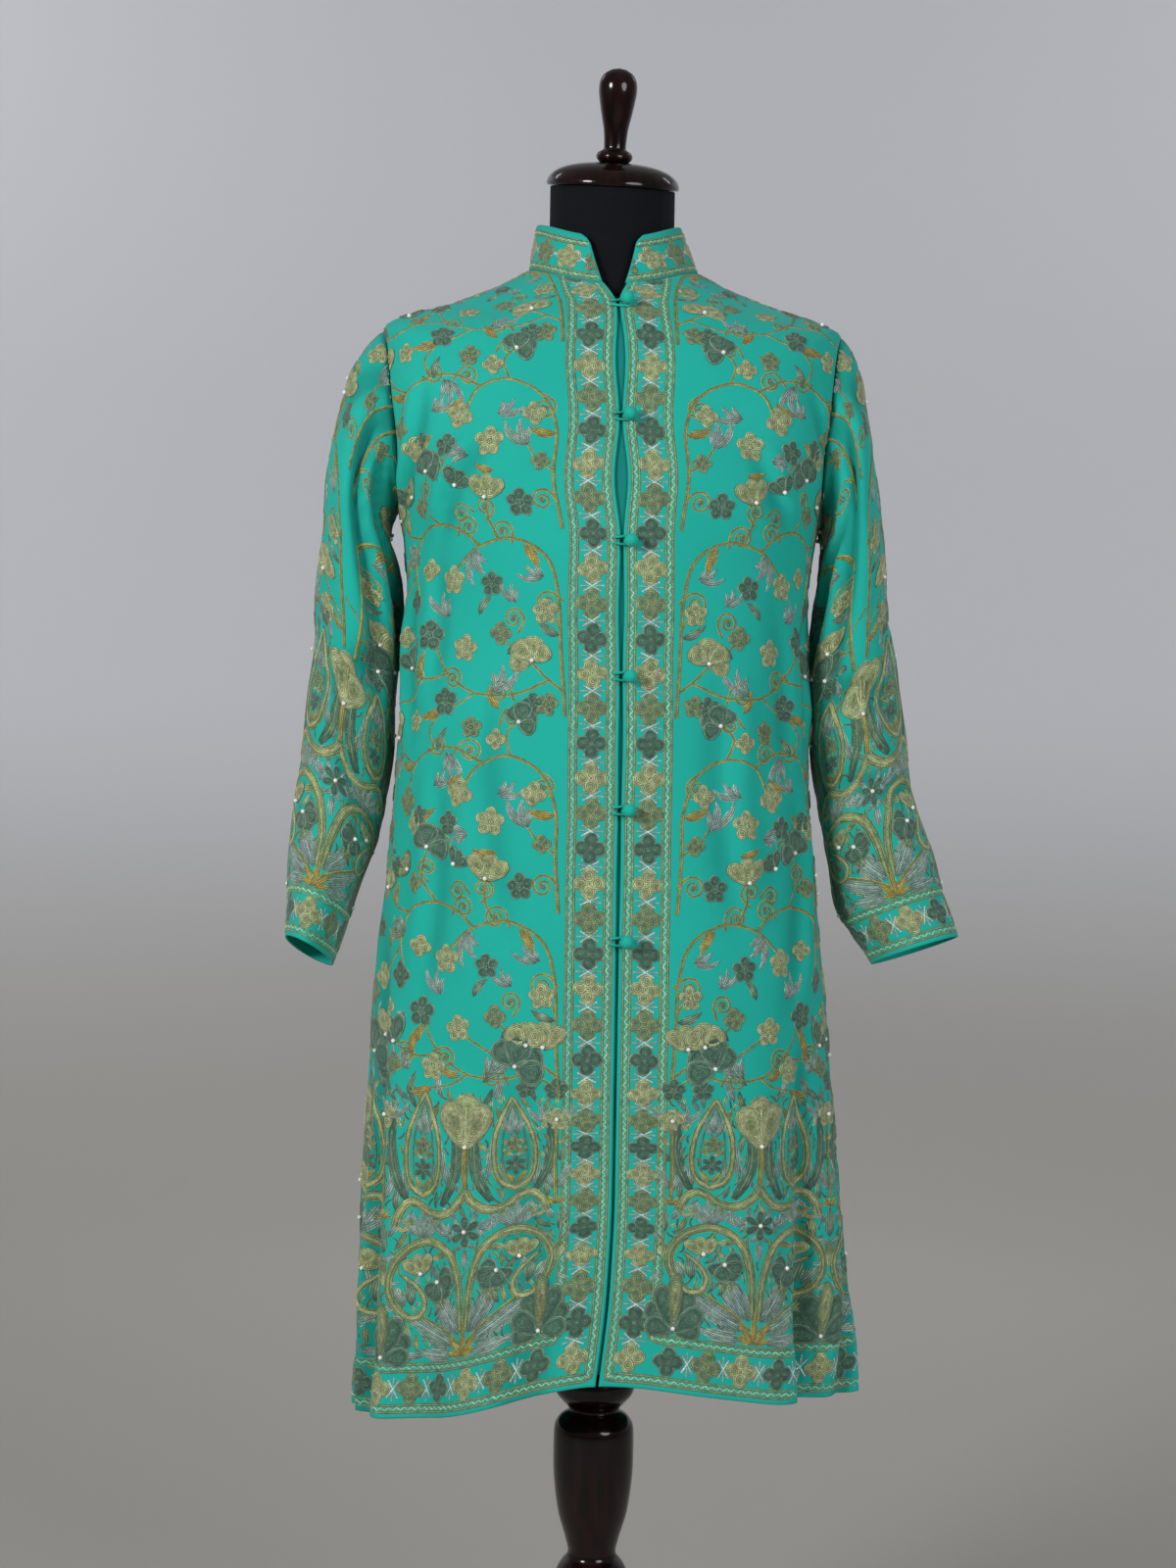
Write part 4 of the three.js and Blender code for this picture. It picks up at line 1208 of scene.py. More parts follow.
class Spot:
    """A place on flat cloth, with directions and a size of its own."""

    def __init__(self, origin=(0.0, 0.0), axes=((1.0, 0.0), (0.0, 1.0))):
        self.origin = np.asarray(origin, float)
        self.axes = np.asarray(axes, float)

    def at(self, points):
        return np.asarray(points, float) @ self.axes.T + self.origin

    def inner(self, x, y, turn=0.0, size=1.0, mirror=1):
        """A spot within this one; turn is in degrees, to the left."""
        c, s = math.cos(turn * RAD), math.sin(turn * RAD)
        local = np.array([[c * mirror, -s], [s * mirror, c]]) * size
        return Spot(self.at((x, y)), self.axes @ local)


def sideways(path):
    """Unit directions to the left of a flat path."""
    along = np.gradient(path, axis=0)
    along /= np.maximum(np.linalg.norm(along, axis=1, keepdims=True), 1e-9)
    return np.column_stack([-along[:, 1], along[:, 0]])


def ramp(tints, shares):
    """Tints at shares of the way from the first to the last."""
    tints = np.asarray(tints, float)
    steps = np.linspace(0, 1, len(tints))
    return np.column_stack([np.interp(shares, steps, channel) for channel in tints.T])


class Needle:
    """Collects the stitched shapes of one panel in flat coordinates, and makes one mesh of them."""

    def __init__(self, panel):
        self.panel = panel
        self.parts = {"flat": [], "lift": [], "uv": [], "tint": [], "quads": [], "fans": []}
        self.pearls = []
        self.covered = []
        self.count = 0

    def _keep(self, flat, lift, uv, tint, quads, fans=None):
        self.covered.append(flat)
        jitter = 1 + rng.normal(0, 0.05) + rng.normal(0, 0.02, 3)
        parts = self.parts
        parts["flat"].append(flat)
        parts["lift"].append(lift)
        parts["uv"].append(uv)
        parts["tint"].append(np.clip(tint * jitter, 0, 1))
        parts["quads"].append(quads + self.count)
        if fans is not None:
            parts["fans"].append(fans + self.count)
        self.count += len(flat)

    def line(self, path, width, tint, rows=2, lift=0.6, other=None):
        """A band of chain stitch along a path; its width may change, and other tints one half of it."""
        path = np.asarray(path, float)
        width = np.broadcast_to(np.asarray(width, float), len(path))
        offsets = np.linspace(-1, 1, 3 if width.max() < 3.3 else 5)
        reach = offsets[None, :] * width[:, None] / 2
        flat = (path[:, None] + sideways(path)[:, None] * reach[..., None]).reshape(-1, 2)
        crown = lift * (1 - np.abs(offsets) ** 3) - 0.15
        length = arc_lengths(path, 0) + rng.uniform(0, 9)
        across = reach + (ROW_WIDTH / 2 if rows % 2 else 0)
        uv = np.column_stack([np.repeat(length, len(offsets)), across.ravel()])
        tints = np.asarray(tint, float)
        if tints.ndim == 2:
            tints = np.repeat(ramp(tints, np.linspace(0, 1, len(path))), len(offsets), 0)
        else:
            tints = np.tile(tints, (len(flat), 1))
        if other is not None:
            half = np.tile(offsets > 0.1, len(path))
            tints[half] = other
        quads = grid_faces(len(path), len(offsets), 0, False, True)
        self._keep(flat, np.tile(crown, len(path)), uv, tints, quads)

    def patch(self, outline, middle, tints, lift=0.8, base=0.0):
        """A shape filled with rows that follow its outline; the tints run from there to the middle."""
        outline = np.concatenate([outline, outline[:1]])
        middle = np.asarray(middle, float)
        shares = np.array([0.0, 0.1, 0.36, 0.66])
        crowns = np.array([-0.15, 0.75 * lift, lift, 0.9 * lift]) + base
        if np.ptp(outline, axis=0).max() < 15:
            shares, crowns = shares[[0, 1, 2]], crowns[[0, 1, 2]]
        rings = outline[None] + (middle - outline)[None] * shares[:, None, None]
        radius = np.linalg.norm(outline - middle, axis=1).mean()
        inner = np.linspace(0.2, 0.9, 4)[:, None, None]
        self.covered.append((outline[None] + (middle - outline)[None] * inner).reshape(-1, 2))
        length = arc_lengths(outline, 0) + rng.uniform(0, 9)
        count = len(outline)
        flat = np.concatenate([rings.reshape(-1, 2), [middle]])
        lifts = np.append(np.repeat(crowns, count), lift * 0.75 + base)
        uv_across = np.append(np.repeat(shares * radius, count), radius)
        uv_along = np.append(np.tile(length, len(shares)), length.mean())
        blend = ramp(tints, np.append(shares, 1))
        tint = np.concatenate([np.repeat(blend[:-1], count, 0), blend[-1:]])
        k = np.arange(count - 1)
        last = (len(shares) - 1) * count
        fans = np.stack([last + k, last + k + 1, np.full(count - 1, len(flat) - 1)], axis=-1)
        quads = grid_faces(len(shares), count)
        if _area(outline) < 0:
            quads, fans = quads[:, ::-1], fans[:, ::-1]
        self._keep(flat, lifts, np.column_stack([uv_along, uv_across]), tint, quads, fans)

    def fill(self, low, high, first):
        """Small leaves wherever the cloth between two heights is still bare."""
        cell = 2.0
        reach = np.abs(self.panel.across).max()
        start = np.array([max(first, self.panel.across.min()), low])
        size = ((np.array([reach, high]) - start) / cell).astype(int)
        taken = np.zeros(size, bool)

        def mark(points):
            at = ((points - start) / cell).astype(int)
            at = at[((at >= 0) & (at < size)).all(axis=1)]
            taken[at[:, 0], at[:, 1]] = True

        def grown(rounds):
            wide = np.pad(taken, 1)
            for _ in range(rounds):
                wide[1:-1, 1:-1] |= wide[:-2, 1:-1] | wide[2:, 1:-1] | wide[1:-1, :-2] | wide[1:-1, 2:]
            return wide[1:-1, 1:-1]

        mark(np.concatenate(self.covered))
        for rounds, length, width in ((3, 19, 7.0), (2, 15, 5.4), (2, 12, 4.6), (1, 9, 3.2)):
            places = np.argwhere(~grown(rounds))
            rng.shuffle(places)
            placed = np.full((1, 2), -1e6)
            for place in places:
                middle = start + (place + 0.5) * cell
                if np.linalg.norm((placed - middle) * [1.5, 1.0], axis=1).min() < length * 0.8:
                    continue
                placed = np.vstack([placed, middle])
                spot = Spot(middle).inner(0, 0, rng.uniform(-50, 50))
                t = np.linspace(0, 1, 7)
                bow = rng.uniform(-2, 2) * np.sin(np.pi * t)
                path = spot.at(np.column_stack([bow, (t - 0.5) * length]))
                bright, deep = FILL_TINTS[rng.integers(len(FILL_TINTS))]
                widths = width * np.sin(np.pi * (0.06 + 0.88 * t)) ** 0.8
                self.line(path, widths, [deep, bright, deep], 2, 0.6)
                mark(path)
                mark(path + [cell, 0])
                mark(path - [cell, 0])

    def pearl(self, place):
        self.pearls.append(np.asarray(place, float))

    def finish(self):
        """Lays all stitches on the panel, and leaves out what would pass over its edges."""
        parts = {key: np.concatenate(value) for key, value in self.parts.items() if value}
        points, inside = self.panel.place(parts["flat"][:, 0], parts["flat"][:, 1], parts["lift"])
        quads = parts["quads"][inside[parts["quads"]].all(axis=1)]
        fans = parts["fans"][inside[parts["fans"]].all(axis=1)]
        if self.panel.inward:
            quads, fans = quads[:, ::-1], fans[:, ::-1]
        used = np.unique(np.concatenate([quads.ravel(), fans.ravel()]))
        order = np.zeros(len(points), int)
        order[used] = np.arange(len(used))
        name = f"stitches_{self.panel.name}"
        piece = new_mesh(
            name, points[used], [order[quads], order[fans]], MATERIALS["thread"], parts["uv"][used],
            parts["tint"][used],
        )
        settle(piece)
        if self.pearls:
            self._make_pearls()

    def _make_pearls(self):
        """Round pearls, sunk a little among the stitches."""
        flat = np.array(self.pearls)
        middles, inside = self.panel.place(flat[:, 0], flat[:, 1], np.full(len(flat), PEARL_LIFT))
        middles = middles[inside]
        fall = np.linspace(0, np.pi, 8)[1:-1, None]
        rings = around(np.sin(fall), np.cos(fall), full_turn(12))
        ball, faces = ring_solid(rings, [[0, 0, 1], [0, 0, -1]], True)
        start = np.arange(len(middles))[:, None, None] * len(ball)
        points = (middles[:, None] + ball[None] * PEARL_RADIUS).reshape(-1, 3)
        faces = [(face[None] + start).reshape(-1, face.shape[1]) for face in faces]
        settle(new_mesh(f"pearls_{self.panel.name}", points, faces, MATERIALS["pearl"]))


def _area(outline):
    x, y = outline[:, 0], outline[:, 1]
    return float(np.sum(x * np.roll(y, -1) - y * np.roll(x, -1)))


# Motifs, each in its spot, with its base at the origin and growing upwards

def smooth(points, step=3.5):
    """A flowing path through points."""
    points = np.asarray(points, float)
    padded = np.concatenate([2 * points[:1] - points[1:2], points, 2 * points[-1:] - points[-2:-1]])
    out = [points[0]]
    for i in range(1, len(padded) - 2):
        p0, p1, p2, p3 = padded[i - 1 : i + 3]
        for t in np.linspace(0, 1, max(2, int(np.linalg.norm(p2 - p1) / step) + 1))[1:]:
            out.append(
                0.5 * (2 * p1 + (p2 - p0) * t + (2 * p0 - 5 * p1 + 4 * p2 - p3) * t**2
                       + (3 * p1 - p0 - 3 * p2 + p3) * t**3)
            )
    return np.array(out)


def vine(needle, spot, points, start=3.4, end=2.2, tint=VINE):
    """A tapering stem through points, shaded along one side."""
    path = smooth(points)
    needle.line(spot.at(path), np.linspace(start, end, len(path)), tint, 2, 0.9, VINE_SHADE)


def petal(needle, spot, length, width, tints, lift=0.8, count=14, base=0.0):
    """A drop-shaped petal from the origin."""
    turn = full_turn(count)
    rise = (1 - np.cos(turn)) / 2
    outline = np.column_stack([-width / 2 * np.sin(turn) * (0.5 + 0.62 * rise), length * rise])
    needle.patch(spot.at(outline), spot.at((0, 0.58 * length)), tints, lift, base)


def rosette(needle, spot, size, kind, lobes=4):
    """A flower of round lobes, each a curl of stitches."""
    turn = full_turn(10)
    lift = 0.8
    reach = {4: 0.25, 5: 0.29, 6: 0.32}[lobes] * size
    radius = {4: 0.255, 5: 0.215, 6: 0.18}[lobes] * size
    tints = FLOWER_TINTS[kind]
    for k in range(lobes):
        lobe = spot.inner(0, 0, 360 * k / lobes + rng.normal(0, 3))
        outline = np.column_stack([radius * np.cos(turn), reach + radius * 1.06 * np.sin(turn)])
        needle.patch(lobe.at(outline), lobe.at((0, reach)), tints, lift * rng.uniform(0.85, 1.1))
    heart = 0.09 * size
    outline = np.column_stack([heart * np.cos(turn[::2]), heart * np.sin(turn[::2])])
    needle.patch(spot.at(outline), spot.at((0, 0)), [tints[1], tints[0]], lift * 1.15)


def shell_flower(needle, spot, size, kind, lobes=5, spread=150):
    """A large flower seen from the side: lobes that fan from a pearl."""
    tints = FLOWER_TINTS[kind]
    for k in range(lobes):
        turn = spread * (k / (lobes - 1) - 0.5)
        length = size * (1 - 0.16 * abs(turn) / 90) * rng.uniform(0.93, 1.05)
        width = 1.32 * length * math.radians(spread / (lobes - 1))
        petal(needle, spot.inner(0, 0, turn), length, width, tints, 0.8, 13, 0.55 * (k % 2))
    for k in range(lobes - 1):
        turn = spread * ((k + 0.5) / (lobes - 1) - 0.5)
        rib = spot.inner(0, 0, turn).at([(0, size * r) for r in (0.12, 0.3, 0.5, 0.66)])
        needle.line(rib, 1.5, KHAKI_EDGE if kind == "khaki" else DARK_EDGE, 1, 1.75)
    needle.pearl(spot.at((0, 1.0)))


def tulip(needle, spot, size, kind):
    """A bud in its cup: two leaning petals with a third between them."""
    tints = FLOWER_TINTS[kind]
    petal(needle, spot.inner(0, 0, 0), size * 0.95, size * 0.72, tints, 0.75)
    for side in (-1, 1):
        petal(needle, spot.inner(side * size * 0.04, 0, -side * 36), size, size * 0.66, tints, 0.8, 14, 0.55)
    needle.pearl(spot.at((0, 1.5)))


def daisy(needle, spot, size, kind, with_pearl=True):
    """Six petals about a middle."""
    for turn in range(0, 360, 60):
        petal(needle, spot.inner(0, 0, turn), size / 2, size * 0.3, FLOWER_TINTS[kind], 0.8, 12)
    if with_pearl:
        needle.pearl(spot.at((0, 0)))


def leaf(needle, spot, length, width, kind, bend=0.0, lift=0.7):
    """A pointed leaf whose rows run along it."""
    t = np.linspace(0, 1, 9)
    path = np.column_stack([bend * 4 * t * (1 - t) + bend * 0.6 * t, length * t])
    widths = width * np.maximum(0.12, np.sin(np.pi * t**0.8) ** 0.8)
    tints = FLOWER_TINTS[kind]
    needle.line(spot.at(path), widths, [tints[1], tints[0], tints[2]], 2, lift)


def leaves(needle, spot, rows, side=1, bend=0.0, lift=0.7):
    """Leaves from rows of across, up, turn in degrees, length, width and kind; side -1 mirrors them."""
    for x, y, turn, length, width, kind in rows:
        leaf(needle, spot.inner(side * x, y, side * turn), length, width, kind, bend, lift)


def feather(needle, spot, size, hand=1):
    """Three curved grey leaves side by side from one base."""
    for turn, length, bend in ((-14, 1.0, 0.16), (12, 0.78, 0.12), (34, 0.52, 0.08)):
        leaf(needle, spot.inner(0, 0, turn * hand), size * length, size * 0.27, "grey", hand * bend * size)


def spiral(needle, spot, size, hand):
    """A tendril that leaves its vine at the origin and coils up."""
    t = np.linspace(0, 1, 20)
    turn = t * 2 * np.pi * 1.55
    radius = size / 2 * (1 - 0.78 * t)
    x = size / 2 - radius * np.cos(turn)
    path = np.column_stack([hand * x, radius * np.sin(turn) + size * 0.25])
    path = np.concatenate([[(0, -size * 0.25), (0, 0)], path])
    needle.line(spot.at(path), np.linspace(3.0, 2.2, len(path)), VINE, 2, 0.8, VINE_SHADE)
    heart = [(hand * size * 0.5, size * 0.25 - 2.5), (hand * size * 0.5, size * 0.25 + 2.5)]
    needle.line(spot.at(heart), 4.2, MOSS, 1)


def cross(needle, spot, reach=7.5):
    """Two pale crossing strokes."""
    for side in (-1, 1):
        path = smooth([(-side * reach, -0.62 * reach), (0, 0), (side * reach, 0.62 * reach)], 3)
        widths = 1.4 + 1.7 * np.abs(np.linspace(-1, 1, len(path)))
        needle.line(spot.at(path), widths, FROST, 1, 0.7)
        dab = spot.at([(side * 0.3 * reach, 0), (side * 0.8 * reach, 0), (side * 1.4 * reach, 0)])
        needle.line(dab, [1.2, 2.6, 1.6], GREY, 1, 0.6)


def border(needle, path, half=3.0, wave=1.3, period=6.6):
    """Two rows of chain stitch with a pale zigzag between them."""
    path = np.asarray(path, float)
    length = arc_lengths(path, 0)
    total = length[-1]

    def sample(step):
        at = np.linspace(0, total, int(total / step) + 1)
        return np.column_stack([np.interp(at, length, channel) for channel in path.T])

    even = sample(6.0)
    for offset in (-half, half):
        needle.line(even + sideways(even) * offset, 3.1, BORDER_EDGE, 1, 0.8)
    fine = sample(period / 4)
    swing = np.array([0, 1, 0, -1])[np.arange(len(fine)) % 4] * wave
    needle.line(fine + sideways(fine) * swing[:, None], 1.9, BORDER_WAVE, 1, 0.7)


def flower_row(needle, places, size, first=0):
    """Flowers in a row with pale crosses between them; places are points with a turn in degrees."""
    kinds = ["khaki", "dark", "mixed"]
    for k, (x, y, turn) in enumerate(places):
        spot = Spot((x, y)).inner(0, 0, turn + rng.normal(0, 4))
        rosette(needle, spot, size * rng.uniform(0.95, 1.05), kinds[(k + first) % 3])
        if k:
            x0, y0, _ = places[k - 1]
            cross(needle, Spot(((x + x0) / 2, (y + y0) / 2)).inner(0, 0, turn + rng.normal(0, 4)))


# Layout of the embroidery

BAND = {"edge": 8.0, "flowers": 25.0, "inner": 42.5}  # heights of the hem band's borders and flowers
STRIP = {"edge": 7.0, "flowers": 22.7, "outer": 38.7}  # the same across the front strips
STRIP_PITCH = 29.5
BAND_PITCH = 32
FLOWER = 27
TULIP_ACROSS = 126
REPEAT = 168  # width of the deep border's repeat
FILLED_TO = {"front": 286, "back": 205, "sleeve": 250}  # height up to which small leaves fill bare cloth
FIELD_TALL = 324  # height of the field's repeat
FIELD_FOOT = 292
FIELD_FOOT_SLEEVE = 262
SECOND_COLUMN = 222  # across from the field's first column to its second
SLEEVE_BORDER = 0.86
COLLAR_FLOWER = 26
COLLAR_PITCH = 29.0

# One repeat of the scrolling vines: across from the strip and up. Start and end widths come first.
VINES = [
    (3.6, 2.6, [(2, -8), (5, 40), (7, 92), (18, 126), (48, 142), (80, 135), (102, 116)]),
    (3.0, 2.4, [(5, 14), (18, 24), (30, 36)]),
    (2.8, 2.2, [(60, 142), (68, 158), (68, 176)]),
    (3.2, 2.4, [(78, 136), (96, 150), (122, 156), (146, 146), (157, 122), (150, 96)]),
    (2.8, 2.2, [(118, 156), (130, 176), (126, 200)]),
    (2.8, 2.2, [(146, 146), (168, 150), (184, 164)]),
    (2.8, 2.2, [(157, 116), (172, 102), (186, 92)]),
    (3.6, 2.6, [(5, 150), (8, 196), (9, 236), (22, 268), (50, 282), (76, 274), (88, 256)]),
    (2.6, 2.2, [(8, 200), (22, 208), (32, 222)]),
    (2.6, 2.2, [(48, 282), (52, 300), (42, 312)]),
    (3.0, 2.4, [(74, 276), (98, 288), (126, 286), (148, 272), (158, 252)]),
    (2.6, 2.2, [(122, 287), (128, 304), (118, 318)]),
    (2.8, 2.2, [(146, 274), (166, 282), (180, 296)]),
    (2.8, 2.2, [(168, 283), (190, 268), (198, 246), (194, 226)]),
    (3.0, 2.4, [(16, 22), (48, 10), (84, 12), (112, 30), (126, 52)]),
    (2.6, 2.2, [(82, 12), (98, 2), (116, -2)]),
    (2.8, 2.2, [(110, 28), (134, 24), (156, 32)]),
    (2.6, 2.2, [(138, 25), (156, 10), (182, 4), (204, 16)]),
    (2.6, 2.2, [(204, 16), (216, 40), (214, 66)]),
    (2.4, 2.0, [(6, 66), (10, 74), (18, 80)]),
    (2.4, 2.0, [(34, 46), (48, 50), (58, 62)]),
    (2.4, 2.0, [(124, 206), (114, 212), (106, 224)]),
    (2.4, 2.0, [(128, 202), (138, 210), (144, 224)]),
    (2.4, 2.0, [(188, 168), (202, 174), (208, 188)]),
    (2.4, 2.0, [(42, 312), (28, 316), (18, 326)]),
]

# Flowers, leaves and tendrils of that repeat: form, kind, across, up, turn to the left in degrees, size
SPRAYS = [
    ("shell", "khaki", 30, 38, -22, 23), ("shell", "dark", 126, 202, 24, 22),
    ("tulip", "khaki", 69, 176, 12, 24), ("tulip", "dark", 158, 33, -30, 24),
    ("shell", "khaki", 186, 165, -40, 20), ("shell", "dark", 42, 310, 36, 20),
    ("tulip", "khaki", 181, 296, -18, 24), ("five", "khaki", 105, 108, 0, 26),
    ("five", "dark", 130, 62, 10, 27), ("four", "khaki", 194, 88, 0, 25),
    ("five", "dark", 38, 172, 0, 24), ("four", "khaki", 94, 250, 20, 25),
    ("four", "mixed", 160, 242, 0, 26), ("five", "dark", 112, 328, 0, 25),
    ("five", "khaki", 66, 226, 0, 25), ("five", "mixed", 194, 216, 0, 25),
    ("four", "dark", 155, 92, 0, 24), ("four", "mixed", 214, 74, 0, 25),
    ("five", "khaki", 92, 50, 0, 24), ("five", "dark", 66, 104, 0, 22),
    ("four", "khaki", 28, 250, 0, 21), ("tulip", "mixed", 150, 182, -60, 18),
    ("five", "mixed", 84, 306, 0, 20), ("five", "dark", 202, 130, 0, 20),
    ("four", "khaki", 172, 62, 0, 19), ("tulip", "dark", 98, 188, 30, 17),
    ("five", "khaki", 150, 312, 0, 20), ("leaf", "dark", 78, 78, 40, 20),
    ("feather", 1, 44, 88, -30, 22), ("four", "mixed", 20, 208, 0, 17),
    ("leaf", "ochre", 60, 200, -70, 19), ("five", "dark", 136, 230, 0, 19),
    ("feather", -1, 122, 256, 40, 24), ("leaf", "dark", 176, 196, -40, 20),
    ("four", "khaki", 132, 118, 0, 19), ("leaf", "ochre", 178, 114, 40, 20),
    ("feather", 1, 148, 60, -120, 22), ("four", "dark", 190, 8, 0, 18),
    ("leaf", "ochre", 60, 322, -30, 21), ("coil", 1, 48, 142, 0, 20), ("coil", -1, 98, 150, 10, 19),
    ("coil", 1, 8, 176, -40, 20), ("coil", -1, 96, 287, 30, 20), ("coil", 1, 48, 10, -20, 20),
    ("coil", -1, 157, 124, -100, 19), ("coil", 1, 188, 270, -30, 19), ("coil", -1, 20, 267, 120, 20),
    ("coil", 1, 182, 5, 0, 20), ("coil", -1, 112, 31, 60, 19), ("coil", 1, 126, 286, 130, 18),
    ("coil", 1, 7, 92, -50, 20), ("coil", -1, 128, 176, -60, 17), ("coil", 1, 68, 160, 50, 17),
    ("leaf", "ochre", 117, -2, -100, 25), ("leaf", "ochre", 38, 136, 150, 24),
    ("leaf", "ochre", 170, 150, 10, 23), ("leaf", "ochre", 10, 232, -70, 23),
    ("leaf", "ochre", 140, 25, 20, 23), ("leaf", "ochre", 90, 266, -110, 21),
    ("leaf", "dark", 7, 60, -60, 22), ("leaf", "ochre", 150, 272, -80, 22),
    ("leaf", "dark", 118, 286, 30, 21), ("feather", 1, 32, 222, -20, 32),
    ("feather", -1, 84, 134, 160, 32), ("feather", 1, 108, 284, 170, 30),
    ("feather", -1, 66, 12, 30, 31), ("feather", 1, 150, 130, -70, 32),
    ("feather", -1, 176, 284, -160, 29), ("feather", 1, 110, 78, -30, 28),
    ("feather", -1, 60, 250, 60, 26), ("feather", 1, 20, 110, -60, 24), ("feather", 1, 196, 40, 10, 26),
    ("feather", -1, 84, 214, -100, 25), ("five", "khaki", 18, 80, 0, 22),
    ("four", "mixed", 58, 62, 0, 21), ("five", "dark", 106, 224, 0, 22),
    ("four", "khaki", 144, 224, 0, 22), ("five", "khaki", 208, 188, 0, 21),
    ("four", "dark", 170, 184, 0, 20), ("five", "mixed", 18, 326, 0, 21),
    ("four", "khaki", 62, 296, 0, 19), ("five", "dark", 30, 2, 0, 20),
    ("four", "mixed", 140, 172, 0, 19), ("coil", 1, 40, 66, 30, 18), ("coil", -1, 112, 196, -50, 18),
    ("coil", 1, 176, 178, 40, 18), ("coil", -1, 58, 312, 20, 17), ("coil", 1, 84, 168, -40, 18),
    ("leaf", "dark", 52, 44, 60, 20), ("leaf", "ochre", 132, 220, 40, 19),
    ("leaf", "ochre", 196, 176, 120, 18), ("coil", -1, 150, 34, 80, 17), ("coil", 1, 184, 306, -60, 17),
]


def spray(needle, spot):
    """One repeat of the vines with its flowers."""
    for start, end, path in VINES:
        vine(needle, spot, path, start * 1.05, end * 1.1)
    flowers(needle, spot, SPRAYS)


def flowers(needle, spot, table):
    """Everything in a table of flowers, leaves and tendrils."""
    for form, kind, x, y, turn, size in table:
        place = spot.inner(x, y, turn + rng.normal(0, 5), rng.uniform(0.95, 1.06))
        if form == "shell":
            shell_flower(needle, place, size, kind, 4, 140)
        elif form == "tulip":
            tulip(needle, place, size, kind)
        elif form in ("four", "five"):
            rosette(needle, place, size, kind, 4 if form == "four" else 5)
        elif form == "coil":
            spiral(needle, place, size, kind)
        elif form == "leaf":
            leaf(needle, place, size, size * 0.42, kind, 2.0)
        else:
            feather(needle, place, size, kind)


def calyx(needle, spot, size):
    """Five ochre leaves that spread from one base."""
    for turn, length in ((-74, 0.6), (-42, 0.8), (0, 1.0), (42, 0.8), (74, 0.6)):
        leaf(needle, spot.inner(0, 0, turn), size * length, size * 0.24, "ochre", 0, 0.9)


def rich_line(needle, path, width, tints):
    """A broad band: dark edges, a light body and a pale row along its middle."""
    width = np.broadcast_to(np.asarray(width, float), len(path))
    needle.line(path, width, OLIVE, 2, 0.7)
    needle.line(path, width * 0.72, tints, 2, 1.15)
    needle.line(path, 1.5, KHAKI_EDGE, 1, 1.35)


def garland(needle, spot):
    """A thick scalloped band between a tulip's stem and the next stalk."""
    marks = [(0, 150), (7, 139), (20, 130), (36, 131), (50, 140), (60, 141), (68, 132), (72, 120)]
    path = smooth(marks, 2.5)
    widths = 10.5 + 1.6 * np.sin(np.arange(len(path)) * 2.1)
    rich_line(needle, spot.at(path), widths, [KHAKI_SHADE, KHAKI, KHAKI_SHADE, KHAKI, KHAKI_SHADE])
    curl = smooth([(72, 122), (66, 116), (60, 120), (64, 126)], 2)
    needle.line(spot.at(curl), 5, KHAKI, 2, 1.0)
    for x, y, turn in ((12, 128, 150), (26, 123, 176), (40, 126, -168), (56, 134, -150)):
        leaf(needle, spot.inner(x, y, turn), 13, 5.5, "grey")


def tall_bud(needle, spot):
    """An almond of khaki chain stitch around a small posy."""
    rim = [(0, 0), (-13, 9), (-18, 28), (-16, 54), (-8, 76), (0, 92)]
    for side in (-1, 1):
        path = smooth([(side * -x, y) for x, y in rim], 3)
        widths = 8.4 - 2.4 * np.linspace(0, 1, len(path))
        rich_line(needle, spot.at(path), widths, [KHAKI, OLIVE, KHAKI_SHADE, KHAKI, OLIVE])
        needle.line(spot.at(path * [0.6, 0.84] + [0, 7]), 2.2, DARK, 1, 0.7)
    rosette(needle, spot.inner(0, 45), 19, "mixed", 5)
    daisy(needle, spot.inner(0, 24), 21, "dark", False)
    rows = [(2, 54, -20, 22, 8, "grey"), (2, 33, -50, 13, 6, "khaki"), (1, 6, -38, 14, 6, "ochre")]
    for side in (-1, 1):
        leaves(needle, spot, rows, side)
    leaf(needle, spot.inner(0, 58), 24, 8, "grey")


def crescent(needle, spot, length, width, bend):
    """A dark curved leaf with rows across it."""
    t = np.linspace(0, 1, 16)
    path = np.column_stack([bend * 4 * t * (1 - t), length * t])
    widths = width * np.sin(np.pi * (0.12 + 0.8 * t)) ** 0.7
    needle.line(spot.at(path), widths, [DARK_SHADE, DARK, DARK, DARK_SHADE], 2, 0.9)
    needle.line(spot.at(path[2:-2]), widths[2:-2] * 0.4, MOSS, 1, 1.15)


def arch(needle, spot):
    """One horseshoe of a pair, which curls in on itself around flowers."""
    path = smooth([
        (3, 24), (6, 62), (15, 90), (32, 104), (50, 105), (68, 94), (78, 74), (75, 54), (62, 40), (49, 42),
        (45, 53), (53, 66), (66, 76),
    ], 3)
    share = np.linspace(0, 1, len(path))
    widths = 10.2 * np.minimum(1, 0.72 + share * 1.4) * np.minimum(1, 0.5 + 1.5 * (1 - share))
    tints = [OLIVE, KHAKI_SHADE, KHAKI, KHAKI_SHADE, OLIVE, KHAKI, KHAKI_SHADE]
    rich_line(needle, spot.at(path), widths, tints)
    shell_flower(needle, spot.inner(31, 70, 142), 21, "dark", 5, 170)
    tulip(needle, spot.inner(49, 76, -12), 21, "khaki")
    rosette(needle, spot.inner(27, 50), 15, "mixed", 5)
    leaves(needle, spot, [(58, 50, -8, 24, 12, "dark"), (64, 50, -30, 20, 8, "grey")])
    for x, y, turn in ((9, 96, 60), (18, 104, 30), (84, 88, -60), (86, 70, -90), (82, 52, -120)):
        leaf(needle, spot.inner(x, y, turn), 14, 6, "grey")


